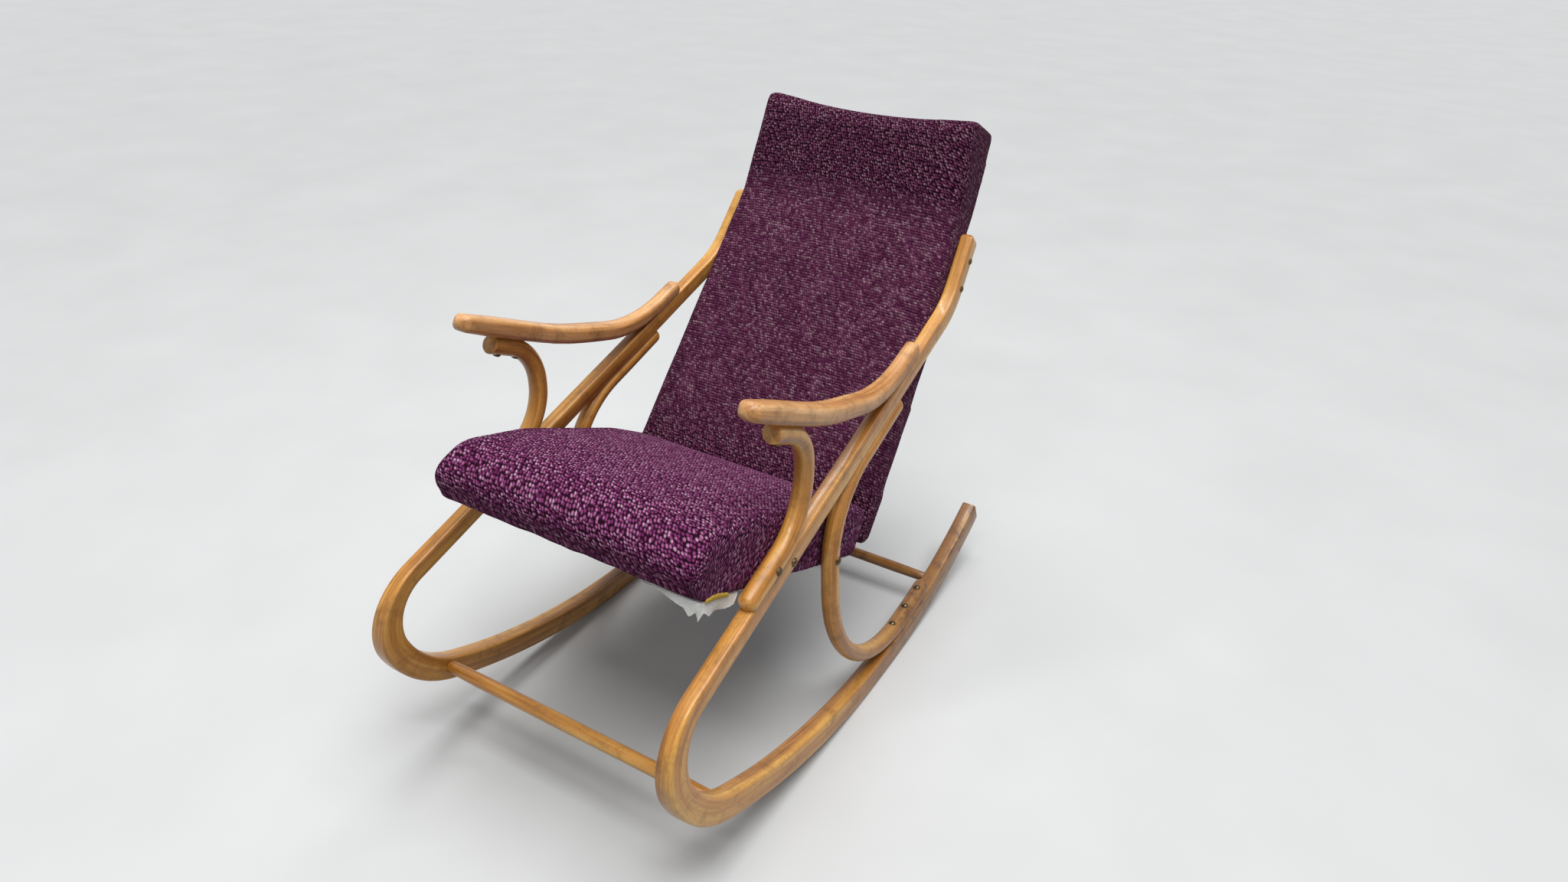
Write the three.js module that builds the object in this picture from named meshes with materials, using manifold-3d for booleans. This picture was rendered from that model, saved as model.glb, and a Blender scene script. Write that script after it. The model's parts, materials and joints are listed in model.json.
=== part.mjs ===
// Bentwood rocking chair: two bent beech side frames that lean in towards each other,
// two turned stretchers, and an upholstered seat and tall back bolted in between them.
// Lengths are millimetres, angles are degrees, +Z is up, -Y is the front of the chair
// and +X is the sitter's left. Each side is drawn upright in the (y, z) plane first,
// and the whole chair is leaned in as the last step.
import * as THREE from "three";
import { mergeVertices } from "three/addons/utils/BufferGeometryUtils.js";
import Module from "manifold-3d";

const wasm = await Module();
wasm.setup();
const degree = Math.PI / 180;

// Fits shared by all joints
const clearance = 0.3;
const overrun = 6;
const weldDistance = 0.001;

// Side frames as a pair
const rockerSpacing = 542;
const frameLeanShare = 0.06;
const leanCoreHalf = 200;

// Side bow: rocker, front bends, diagonal and upper run, bent from one length of beech
const rockerRadius = 1134;
const rockerWidth = 28;
const rockerDepth = 41;
const rockerRearAngle = 22.9;
const rockerFrontAngle = 24.92;
const rockerFacetAngle = 2.6;
const lowerFrontBendRadius = 204;
const lowerFrontBendTurn = 43.3;
const upperFrontBendRadius = 86;
const diagonalPitch = 18.4;
const diagonalLength = 779;
const diagonalWidth = 23;
const diagonalDepth = 29.7;
const topBendRadius = 143;
const topBendTurn = 31;
const topRunLength = 83;
const bowNose = 11.5;
const bowCornerShare = 0.3;

// Arm support: an S-shaped rod lapped on the diagonal and screwed up into the armrest
const armSupportDiameter = 29;
const armSupportLapDepth = 8;
const armSupportFootDistance = 145;
const armSupportKneeDistance = 302;
const armSupportRise = 135;
const armSupportHeadLength = 98;
const armSupportKneeRadius = 70;
const armSupportElbowRadius = 50;
const armSupportNose = 11;

// Armrest
const armPitch = 25.2;
const armWidth = 40;
const armDepth = 28;
const armSeatDepth = 2;
const armOverhang = 61;
const armNose = 14;
const armFrontLength = 204;
const armSplay = 8;
const armSplayFrom = 40;
const armSplayTo = 200;
const armFrontBendRadius = 700;
const armRearBendRadius = 250;
const armRearBendDistance = 557;
const armRearEndDistance = 676;
const armLapDepth = 2;
const armRearNose = 12;
const armCornerShare = 0.44;
const armStationShares = [0, 0.1, 0.35, 0.6, 0.82, 1];
const armWidthShares = [0.82, 0.97, 1, 0.95, 0.72, 0.62];
const armDepthShares = [0.9, 1, 1, 0.97, 0.9, 0.84];

// Rear support: from under the diagonal, down, round and back along the rocker
const rearSupportDiameter = 28;
const rearSupportTopLapDepth = 3;
const rearSupportTopDistance = 596;
const rearSupportKneeDistance = 366;
const rearSupportKneeRadius = 150;
const rearSupportBottomRadius = 230;
const rearSupportRockerLapDepth = 3;
const rearSupportEndAngle = 10.2;
const rearSupportNose = 12;

// Stretchers between the rockers
const frontStretcherDiameter = 22;
const rearStretcherDiameter = 20;
const stretcherTenonDiameter = 14;
const stretcherTenonLength = 16;
const frontStretcherPastRocker = 22;
const frontStretcherLift = 5;
const rearStretcherAngle = 12.87;
const stretcherEndShare = 0.9;
const stretcherTaperLength = 60;

// Seat, measured from the bolt that hangs it on the diagonal
const seatPitch = -22;
const seatHangDistance = 243;
const seatHangDrop = 4;
const seatBackGap = 1;
const seatTopRise = 35;
const seatFrontDrop = 34;
const seatRearDrop = 43;
const seatNoseReach = 222;
const seatNoseRise = 10;
const seatNoseRadius = 30;
const seatFrontUnderReach = 184;
const seatFrontUnderRadius = 14;
const seatFrontRollReach = 171;
const seatFrontRollRise = 56;
const seatFrontRollRadius = 62;
const seatDomeFrontReach = 46;
const seatDomeFrontRise = 66;
const seatDomeRearReach = 154;
const seatDomeRearRise = 55;
const seatDomeRadius = 320;
const seatRearTopRadius = 12;
const seatRearUnderRadius = 7;
const seatEdgeRadius = 20;
const seatCrown = 8;
const seatSideGap = 0.5;
const seatWall = 6;
const seatFrontPad = 10;
const seatRearPad = 12;
const seatRailTop = 24;
const seatRailWidth = 20;
const seatCoverThickness = 1.4;
const seatFoamGap = 0.6;

// Back, measured from its upper screw into the bow
const backPitch = 48.4;
const backLowerReach = 522;
const backKinkReach = 88;
const backTopReach = 236;
const backRearDepth = 17;
const backTopSetback = 26;
const backFrontTopReach = 209;
const backFrontTopRise = 105;
const backFrontKinkReach = 33;
const backFrontKinkRise = 47;
const backFrontMiddleReach = 277;
const backFrontMiddleRise = 30;
const backFrontLowerRise = 19;
const backLowerBevel = 12;
const backTopFrontRadius = 27;
const backTopRearRadius = 13;
const backKinkRadius = 90;
const backMiddleRadius = 400;
const backRearKinkRadius = 120;
const backLowerRadius = 9;
const backEdgeRadius = 21;
const backCrown = 10;
const backTopDip = 20;
const backSideGap = 0.5;
const backWall = 6;
const backLowerPad = 36;
const backTopPad = 26;
const backStileDepth = 18;
const backStileWidth = 26;
const backRailHeight = 42;
const backPanelThickness = 1.2;
const backBoardThickness = 4;

// Webbing under both cushions
const strapWidth = 50;
const strapThickness = 2;
const seatStrapCount = 4;
const backStrapCount = 3;

// Torn dust cover at the front left corner
const tornSideLength = 84;
const tornFrontLength = 96;
const tornDrop = 24;
const tornInset = 12;
const tornFrontInset = 9;
const tornSideShares = [[0, 1], [0.12, 0.42], [0.24, 0.8], [0.4, 0.3], [0.62, 0.52], [0.8, 0.12]];
const tornFrontShares = [[0, 0.62], [0.16, 1.1], [0.3, 0.48], [0.52, 0.86], [0.7, 0.3], [0.86, 0.4]];

// Screws and bolts with domed heads
const boltShank = { radius: 3.2, head: 6.2, dome: 3.6, sink: 1.5 };
const lapShank = { radius: 2.8, head: 5.6, dome: 3.2, sink: 1.5 };
const screwShank = { radius: 2.2, head: 4.4, dome: 2.2, sink: 1.2 };
const tipTaperShare = 1.6;
const domeShoulderShare = 0.45;
const domeShoulderRadiusShare = 0.92;
const domeCrownShare = 0.86;
const domeCrownRadiusShare = 0.5;
const seatBoltBite = 18;
const seatUpperBoltDistance = 205;
const seatRearBoltReach = 152;
const seatRearBoltDrop = 17;
const backScrewInset = 32;
const backScrewSpacing = 51;
const backScrewDrop = 6;
const backScrewBite = 17;
const lapBoltInset = 18;
const lapBoltSpacing = 54;
const lapBoltBite = 26;
const armScrewInset = 20;
const armScrewSpacing = 40;
const armScrewBite = 14;
const armRearScrewInset = 34;
const armRearScrewBite = 17;
const rearScrewInset = 28;
const rearScrewSpacing = 55;
const rearScrewBite = 18;

// Counts of facets
const ringSides = 12;
const fastenerSides = 8;
const bendStepAngle = 11;
const noseRings = 2;
const stretcherSides = 14;
const cushionEdgeSteps = 3;
const cushionColumns = 6;

// Materials
const beech = new THREE.MeshStandardMaterial({ color: "#d6a263", roughness: 0.34, metalness: 0 });
const wornBeech = new THREE.MeshStandardMaterial({ color: "#b88453", roughness: 0.42, metalness: 0 });
const frameWood = new THREE.MeshStandardMaterial({ color: "#c8a97c", roughness: 0.7, metalness: 0 });
const plumTweed = new THREE.MeshStandardMaterial({ color: "#4c1a45", roughness: 0.95, metalness: 0 });
const dustCloth = new THREE.MeshStandardMaterial({ color: "#d8d8d4", roughness: 0.9, metalness: 0 });
const jute = new THREE.MeshStandardMaterial({ color: "#9b8058", roughness: 0.9, metalness: 0 });
const bronzedSteel = new THREE.MeshStandardMaterial({ color: "#6b5a35", roughness: 0.4, metalness: 1 });

const chair = new THREE.Group();

// Points and paths in the side plane

function stepAside(place, along, lift) {
  const heading = place.heading;
  return {
    y: place.y + along * Math.cos(heading) - lift * Math.sin(heading),
    z: place.z + along * Math.sin(heading) + lift * Math.cos(heading),
    heading,
  };
}

function addStraight(path, length) {
  const last = path[path.length - 1];
  path.push({ ...stepAside(last, length, 0), taper: last.taper });
}

function addBend(path, radius, turn, taperEnd = path[path.length - 1].taper) {
  const first = path[path.length - 1];
  const side = Math.sign(turn);
  const middle = stepAside(first, 0, side * radius);
  const steps = Math.max(1, Math.ceil(Math.abs(turn) / (bendStepAngle * degree)));
  for (let step = 1; step <= steps; step += 1) {
    const heading = first.heading + (turn * step) / steps;
    const place = stepAside({ y: middle.y, z: middle.z, heading }, 0, -side * radius);
    place.taper = first.taper + ((taperEnd - first.taper) * step) / steps;
    path.push(place);
  }
}

function pathLengths(path) {
  const lengths = [0];
  for (let i = 1; i < path.length; i += 1) {
    const run = Math.hypot(path[i].y - path[i - 1].y, path[i].z - path[i - 1].z);
    lengths.push(lengths[i - 1] + run);
  }
  return lengths;
}

function placeOnPath(path, distance) {
  const lengths = pathLengths(path);
  let i = 1;
  while (i < path.length - 1 && lengths[i] < distance) i += 1;
  const share = (distance - lengths[i - 1]) / (lengths[i] - lengths[i - 1]);
  const mix = (from, to) => from + (to - from) * share;
  return {
    y: mix(path[i - 1].y, path[i].y),
    z: mix(path[i - 1].z, path[i].z),
    heading: mix(path[i - 1].heading, path[i].heading),
  };
}

function filletedPath(corners, radii) {
  const towards = (from, to) => Math.atan2(to.z - from.z, to.y - from.y);
  const path = [{ y: corners[0].y, z: corners[0].z, heading: towards(corners[0], corners[1]), taper: 0 }];
  let used = 0;
  for (let i = 1; i < corners.length; i += 1) {
    const last = i === corners.length - 1;
    const run = Math.hypot(corners[i].y - corners[i - 1].y, corners[i].z - corners[i - 1].z);
    const turn = last ? 0 : wrapAngle(towards(corners[i], corners[i + 1]) - towards(corners[i - 1], corners[i]));
    const tangent = last ? 0 : radii[i - 1] * Math.tan(Math.abs(turn) / 2);
    addStraight(path, run - used - tangent);
    if (!last) addBend(path, radii[i - 1], turn);
    used = tangent;
  }
  return path;
}

function wrapAngle(angle) {
  return Math.atan2(Math.sin(angle), Math.cos(angle));
}

// Sections, swept bodies and prisms

function roundedSection(width, depth, corner) {
  const points = [];
  for (let quarter = 0; quarter < 4; quarter += 1) {
    const across = quarter === 0 || quarter === 3 ? 1 : -1;
    const up = quarter < 2 ? 1 : -1;
    for (let step = 0; step < ringSides / 4; step += 1) {
      const angle = (quarter + step / (ringSides / 4 - 1)) * 90 * degree;
      points.push([
        across * (width / 2 - corner) + corner * Math.cos(angle),
        up * (depth / 2 - corner) + corner * Math.sin(angle),
      ]);
    }
  }
  return points;
}

function roundSection(diameter) {
  const points = [];
  for (let i = 0; i < ringSides; i += 1) {
    const angle = ((i + 0.5) * 360 * degree) / ringSides;
    points.push([(diameter / 2) * Math.cos(angle), (diameter / 2) * Math.sin(angle)]);
  }
  return points;
}

function geometryFrom(points, faces) {
  const geometry = new THREE.BufferGeometry();
  geometry.setAttribute("position", new THREE.Float32BufferAttribute(points.flat(), 3));
  geometry.setIndex(faces.flat());
  return geometry;
}

// Sweeps a section along a side-plane path at the side's middle plane. A nose is the
// length of a rounded end, and 0 leaves a flat saw cut.
function sweep(path, sectionAt, startNose, endNose, planeX) {
  const rings = [];
  const first = path[0];
  const last = path[path.length - 1];
  const lengths = pathLengths(path);
  const total = lengths[lengths.length - 1];
  const pushRing = (place, section, scale) => {
    const ring = section.map(([u, v]) => {
      const spot = stepAside(place, 0, v * scale);
      return [planeX + u * scale, spot.y, spot.z];
    });
    rings.push(ring);
  };
  const noseAngles = [];
  for (let k = noseRings; k >= 1; k -= 1) noseAngles.push(((90 * k) / (noseRings + 1)) * degree);
  if (startNose > 0) {
    for (const angle of noseAngles) {
      const place = stepAside(first, -startNose * Math.sin(angle), 0);
      pushRing(place, sectionAt(first, 0), Math.cos(angle));
    }
  }
  path.forEach((place, i) => pushRing(place, sectionAt(place, lengths[i] / total), 1));
  if (endNose > 0) {
    for (const angle of noseAngles.slice().reverse()) {
      const place = stepAside(last, endNose * Math.sin(angle), 0);
      pushRing(place, sectionAt(last, 1), Math.cos(angle));
    }
  }
  const start = stepAside(first, -startNose, 0);
  const end = stepAside(last, endNose, 0);
  const sides = rings[0].length;
  const points = rings.flat();
  points.push([planeX, start.y, start.z], [planeX, end.y, end.z]);
  const startPole = points.length - 2;
  const endPole = points.length - 1;
  const faces = [];
  for (let j = 0; j < sides; j += 1) {
    const next = (j + 1) % sides;
    for (let i = 0; i < rings.length - 1; i += 1) {
      const here = i * sides;
      const ahead = here + sides;
      faces.push([here + j, ahead + j, here + next], [ahead + j, ahead + next, here + next]);
    }
    const lastRing = (rings.length - 1) * sides;
    faces.push([startPole, j, next], [endPole, lastRing + next, lastRing + j]);
  }
  return geometryFrom(points, faces);
}

// A prism along X whose outline is given in the side plane
function prism(outline, fromX, toX) {
  const shape = new THREE.Shape(outline.map(({ y, z }) => new THREE.Vector2(y, z)));
  const geometry = new THREE.ExtrudeGeometry(shape, { depth: toX - fromX, bevelEnabled: false });
  const axes = new THREE.Matrix4().set(0, 0, 1, fromX, 1, 0, 0, 0, 0, 1, 0, 0, 0, 0, 0, 1);
  return geometry.applyMatrix4(axes);
}

function solidOf(geometry) {
  const bare = geometry.clone();
  bare.deleteAttribute("normal");
  bare.deleteAttribute("uv");
  const merged = mergeVertices(bare, weldDistance);
  const index = merged.index.array;
  const kept = [];
  for (let i = 0; i < index.length; i += 3) {
    const [a, b, c] = [index[i], index[i + 1], index[i + 2]];
    if (a !== b && b !== c && c !== a) kept.push(a, b, c);
  }
  return new wasm.Manifold(
    new wasm.Mesh({
      numProp: 3,
      vertProperties: merged.attributes.position.array,
      triVerts: new Uint32Array(kept),
    }),
  );
}

function geometryOf(solid) {
  const mesh = solid.getMesh();
  const geometry = new THREE.BufferGeometry();
  geometry.setAttribute("position", new THREE.BufferAttribute(new Float32Array(mesh.vertProperties), 3));
  geometry.setIndex(new THREE.BufferAttribute(new Uint32Array(mesh.triVerts), 1));
  return geometry;
}

// The arm members bend outward a little as they rise from the diagonal
function splayed(solid) {
  return solid.warp((place) => {
    const start = bow.diagonalStart;
    const rise = place[2] - start.z;
    const reach = place[1] - start.y;
    const lift = rise * Math.cos(start.heading) - reach * Math.sin(start.heading);
    place[0] += armSplay * fade(lift, armSplayFrom, armSplayTo);
  });
}

// The lean: each side frame moves in with height, and what lies between the frames
// narrows with them.
function leanedX(x, z) {
  const shift = frameLeanShare * z;
  if (Math.abs(x) >= leanCoreHalf) return x - Math.sign(x) * shift;
  return (x * (leanCoreHalf - shift)) / leanCoreHalf;
}

function addPiece(name, solid, material, side = 1) {
  const geometry = geometryOf(solid);
  const place = geometry.attributes.position;
  for (let i = 0; i < place.count; i += 1) {
    place.setX(i, side * leanedX(place.getX(i), place.getZ(i)));
  }
  if (side < 0) {
    const index = geometry.index.array;
    for (let i = 0; i < index.length; i += 3) {
      [index[i + 1], index[i + 2]] = [index[i + 2], index[i + 1]];
    }
  }
  geometry.computeVertexNormals();
  const mesh = new THREE.Mesh(geometry, material);
  mesh.name = name;
  chair.add(mesh);
}

// Side bow

const frameX = rockerSpacing / 2;
const rockerCentreRadius = rockerRadius - rockerDepth / 2;

function rockerPlace(angle, inset) {
  const radius = rockerRadius - inset;
  return { y: radius * Math.sin(angle), z: rockerRadius - radius * Math.cos(angle), heading: angle };
}

function bowPath() {
  const angles = [rockerRearAngle];
  const half = rockerFacetAngle / 2;
  const rearCount = Math.floor((rockerRearAngle - half) / rockerFacetAngle);
  const frontCount = Math.floor((rockerFrontAngle - half) / rockerFacetAngle);
  for (let k = rearCount; k >= -frontCount - 1; k -= 1) angles.push(half + k * rockerFacetAngle);
  angles.push(-rockerFrontAngle);
  const path = angles.map((angle) => {
    const place = rockerPlace(angle * degree, rockerDepth / 2);
    return { ...place, heading: Math.PI + angle * degree, taper: 0 };
  });
  addBend(path, lowerFrontBendRadius, -lowerFrontBendTurn * degree);
  const leftToTurn = 180 - rockerFrontAngle - lowerFrontBendTurn - diagonalPitch;
  addBend(path, upperFrontBendRadius, -leftToTurn * degree, 1);
  const diagonalStart = path[path.length - 1];
  addStraight(path, diagonalLength);
  addBend(path, topBendRadius, topBendTurn * degree);
  addStraight(path, topRunLength);
  return { path, diagonalStart };
}

const bow = bowPath();

function diagonalPlace(distance, lift) {
  return stepAside(bow.diagonalStart, distance, lift);
}

function bowSection(place, growth) {
  const width = rockerWidth + (diagonalWidth - rockerWidth) * place.taper + 2 * growth;
  const depth = rockerDepth + (diagonalDepth - rockerDepth) * place.taper + 2 * growth;
  return roundedSection(width, depth, Math.min(width, depth) * bowCornerShare);
}

const bowLengths = pathLengths(bow.path);
const bowLength = bowLengths[bowLengths.length - 1];
let sideBow = solidOf(sweep(bow.path, (place) => bowSection(place, 0), 0, bowNose, frameX));
const bowRoom = solidOf(
  sweep(bow.path, (place) => bowSection(place, clearance), clearance, bowNose + clearance, frameX),
);

// Arm support

const armSupportLift = diagonalDepth / 2 + armSupportDiameter / 2 - armSupportLapDepth;
const armSupportKnee = diagonalPlace(armSupportKneeDistance, armSupportLift);
const armSupportElbow = { y: armSupportKnee.y, z: armSupportKnee.z + armSupportRise };
const armHeading = -armPitch * degree;
const armSupportTip = stepAside({ ...armSupportElbow, heading: armHeading }, -armSupportHeadLength, 0);
const armSupportPath = filletedPath(
  [armSupportTip, armSupportElbow, armSupportKnee, diagonalPlace(armSupportFootDistance, armSupportLift)],
  [armSupportElbowRadius, armSupportKneeRadius],
);

// Armrest

const armLine = stepAside(armSupportTip, 0, armDepth / 2 + armSupportDiameter / 2 - armSeatDepth);
const armTip = stepAside(armLine, -armOverhang, 0);
const armRearDepth = armDepth * armDepthShares[armDepthShares.length - 1];
const armRearLift = diagonalDepth / 2 + armRearDepth / 2 - armLapDepth;
const armPath = filletedPath(
  [
    armTip,
    stepAside(armTip, armFrontLength, 0),
    diagonalPlace(armRearBendDistance, armRearLift),
    diagonalPlace(armRearEndDistance, armRearLift),
  ],
  [armFrontBendRadius, armRearBendRadius],
);

function shareAt(shares, along) {
  let i = 1;
  while (i < armStationShares.length - 1 && armStationShares[i] < along) i += 1;
  const from = armStationShares[i - 1];
  const share = (along - from) / (armStationShares[i] - from);
  return shares[i - 1] + (shares[i] - shares[i - 1]) * share;
}

function armSection(along, growth) {
  const width = armWidth * shareAt(armWidthShares, along) + 2 * growth;
  const depth = armDepth * shareAt(armDepthShares, along) + 2 * growth;
  return roundedSection(width, depth, Math.min(width, depth) * armCornerShare);
}

// The straight front part gets stations of its own, so that the width can change along it
function withExtraStations(path, spacing) {
  const lengths = pathLengths(path);
  const dense = [path[0]];
  for (let i = 1; i < path.length; i += 1) {
    const count = Math.max(1, Math.ceil((lengths[i] - lengths[i - 1]) / spacing));
    for (let k = 1; k < count; k += 1) {
      const distance = lengths[i - 1] + ((lengths[i] - lengths[i - 1]) * k) / count;
      dense.push({ ...placeOnPath(path, distance), taper: path[i].taper });
    }
    dense.push(path[i]);
  }
  return dense;
}

const armStations = withExtraStations(armPath, armFrontLength / 4);
let armrest = splayed(
  solidOf(sweep(armStations, (place, along) => armSection(along, 0), armNose, armRearNose, frameX)),
);
const armRoom = splayed(
  solidOf(sweep(armStations, (place, along) => armSection(along, clearance), armNose, armRearNose, frameX)),
);
armrest = armrest.subtract(bowRoom);
const supportSection = roundSection(armSupportDiameter);
let armSupport = splayed(solidOf(sweep(armSupportPath, () => supportSection, 0, armSupportNose, frameX)))
  .subtract(bowRoom)
  .subtract(armRoom);

// Rear support

function rearSupportPath() {
  const lift = -(diagonalDepth / 2 + rearSupportDiameter / 2 - rearSupportTopLapDepth);
  const top = diagonalPlace(rearSupportTopDistance, lift);
  const knee = diagonalPlace(rearSupportKneeDistance, lift);
  const kneeTurn = Math.PI / 2 - diagonalPitch * degree;
  const kneeTangent = rearSupportKneeRadius * Math.tan(kneeTurn / 2);
  const path = [{ ...top, heading: top.heading + Math.PI, taper: 0 }];
  addStraight(path, rearSupportTopDistance - rearSupportKneeDistance - kneeTangent);
  addBend(path, rearSupportKneeRadius, kneeTurn);
  const lapRadius = rockerRadius - rockerDepth - rearSupportDiameter / 2 + rearSupportRockerLapDepth;
  const bendMiddleY = knee.y + rearSupportBottomRadius;
  const reach = lapRadius - rearSupportBottomRadius;
  const meetAngle = Math.asin(bendMiddleY / reach);
  const bendMiddleZ = rockerRadius - reach * Math.cos(meetAngle);
  addStraight(path, path[path.length - 1].z - bendMiddleZ);
  addBend(path, rearSupportBottomRadius, Math.PI / 2 + meetAngle);
  const lapTurn = rearSupportEndAngle * degree - meetAngle;
  const lapStart = path[path.length - 1];
  const steps = Math.ceil(lapTurn / (rockerFacetAngle * degree));
  for (let step = 1; step <= steps; step += 1) {
    const angle = meetAngle + (lapTurn * step) / steps;
    const place = rockerPlace(angle, rockerRadius - lapRadius);
    path.push({ ...place, heading: lapStart.heading + (lapTurn * step) / steps, taper: 0 });
  }
  return path;
}

const rearPath = rearSupportPath();
const rearSection = roundSection(rearSupportDiameter);
let rearSupport = solidOf(
  sweep(rearPath, () => rearSection, rearSupportNose, rearSupportNose, frameX),
).subtract(bowRoom);

// Stretchers: a turned rod with a slight taper to each shouldered tenon

function turned(profile, sides, start, axis) {
  const lathe = new THREE.LatheGeometry(
    profile.map(([radius, along]) => new THREE.Vector2(radius, along)),
    sides,
  );
  const turn = new THREE.Quaternion().setFromUnitVectors(new THREE.Vector3(0, 1, 0), axis);
  return lathe.applyQuaternion(turn).translate(start.x, start.y, start.z);
}

const acrossAxis = new THREE.Vector3(1, 0, 0);
const shoulderX = frameX - rockerWidth / 2 - clearance;

function stretcherAt(place, diameter) {
  const end = shoulderX + stretcherTenonLength;
  const tenon = stretcherTenonDiameter / 2;
  const shoulder = (diameter / 2) * stretcherEndShare;
  const start = { x: -end, y: place.y, z: place.z };
  const profile = [
    [0, 0],
    [tenon, 0],
    [tenon, stretcherTenonLength],
    [shoulder, stretcherTenonLength],
    [diameter / 2, stretcherTenonLength + stretcherTaperLength],
    [diameter / 2, 2 * end - stretcherTenonLength - stretcherTaperLength],
    [shoulder, 2 * end - stretcherTenonLength],
    [tenon, 2 * end - stretcherTenonLength],
    [tenon, 2 * end],
    [0, 2 * end],
  ];
  const rod = solidOf(turned(profile, stretcherSides, start, acrossAxis));
  const mortise = tenon + clearance;
  const depth = stretcherTenonLength + clearance + overrun;
  const roomStart = { x: shoulderX - overrun, y: place.y, z: place.z };
  const roomProfile = [[0, 0], [mortise, 0], [mortise, depth], [0, depth]];
  const room = solidOf(turned(roomProfile, stretcherSides, roomStart, acrossAxis));
  sideBow = sideBow.subtract(room);
  return rod;
}

const rockerLength = pathLengths(bow.path.filter((place, i) => i <= rockerEndIndex()));
function rockerEndIndex() {
  return bow.path.findIndex((place) => place.heading <= (180 - rockerFrontAngle) * degree + weldDistance);
}
const frontPlace = placeOnPath(bow.path, rockerLength[rockerLength.length - 1] + frontStretcherPastRocker);
const rearPlace = rockerPlace(rearStretcherAngle * degree, rockerDepth / 2);
const frontStretcher = stretcherAt(stepAside(frontPlace, 0, -frontStretcherLift), frontStretcherDiameter);
const rearStretcher = stretcherAt(rearPlace, rearStretcherDiameter);

// Upholstered bodies: a side outline with rounded corners, lofted from side to side,
// drawn in towards both sides and crowned in between. Corners run anticlockwise in the
// cushion's own (a, n) directions: a along the face and n out of it.

function offsetCorners(corners, inset) {
  const lines = corners.map((corner, i) => {
    const next = corners[(i + 1) % corners.length];
    const length = Math.hypot(next.a - corner.a, next.n - corner.n);
    const along = { a: (next.a - corner.a) / length, n: (next.n - corner.n) / length };
    const shift = inset * corner.tuckShare;
    return { a: corner.a - along.n * shift, n: corner.n + along.a * shift, along };
  });
  return corners.map((corner, i) => {
    const before = lines[(i + lines.length - 1) % lines.length];
    const after = lines[i];
    const cross = before.along.a * after.along.n - before.along.n * after.along.a;
    const gapA = after.a - before.a;
    const gapN = after.n - before.n;
    const reach = (gapA * after.along.n - gapN * after.along.a) / cross;
    const radius = Math.max(corner.radius - inset, corner.radius * 0.2);
    return { ...corner, a: before.a + before.along.a * reach, n: before.n + before.along.n * reach, radius };
  });
}

function roundedRing(corners, inset) {
  const moved = offsetCorners(corners, inset);
  const ring = [];
  const count = moved.length;
  const ends = moved.map((corner, i) => {
    const before = moved[(i + count - 1) % count];
    const after = moved[(i + 1) % count];
    const inward = Math.hypot(before.a - corner.a, before.n - corner.n);
    const outward = Math.hypot(after.a - corner.a, after.n - corner.n);
    const headIn = Math.atan2(corner.n - before.n, corner.a - before.a);
    const headOut = Math.atan2(after.n - corner.n, after.a - corner.a);
    const turn = wrapAngle(headOut - headIn);
    const wanted = corner.radius * Math.tan(Math.abs(turn) / 2);
    const tangent = Math.min(wanted, inward * 0.48, outward * 0.48);
    return { corner, headIn, headOut, turn, tangent, radius: tangent / Math.tan(Math.abs(turn) / 2) };
  });
  ends.forEach((end, i) => {
    const side = Math.sign(end.turn);
    const startA = end.corner.a - Math.cos(end.headIn) * end.tangent;
    const startN = end.corner.n - Math.sin(end.headIn) * end.tangent;
    const middleA = startA - side * end.radius * Math.sin(end.headIn);
    const middleN = startN + side * end.radius * Math.cos(end.headIn);
    for (let step = 0; step <= end.corner.bends; step += 1) {
      const heading = end.headIn + (end.turn * step) / end.corner.bends;
      ring.push({
        a: middleA + side * end.radius * Math.sin(heading),
        n: middleN - side * end.radius * Math.cos(heading),
      });
    }
    const next = ends[(i + 1) % count];
    const from = ring[ring.length - 1];
    const toA = next.corner.a - Math.cos(next.headIn) * next.tangent;
    const toN = next.corner.n - Math.sin(next.headIn) * next.tangent;
    for (let run = 1; run < end.corner.runs; run += 1) {
      const share = run / end.corner.runs;
      ring.push({ a: from.a + (toA - from.a) * share, n: from.n + (toN - from.n) * share });
    }
  });
  return ring;
}

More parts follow.
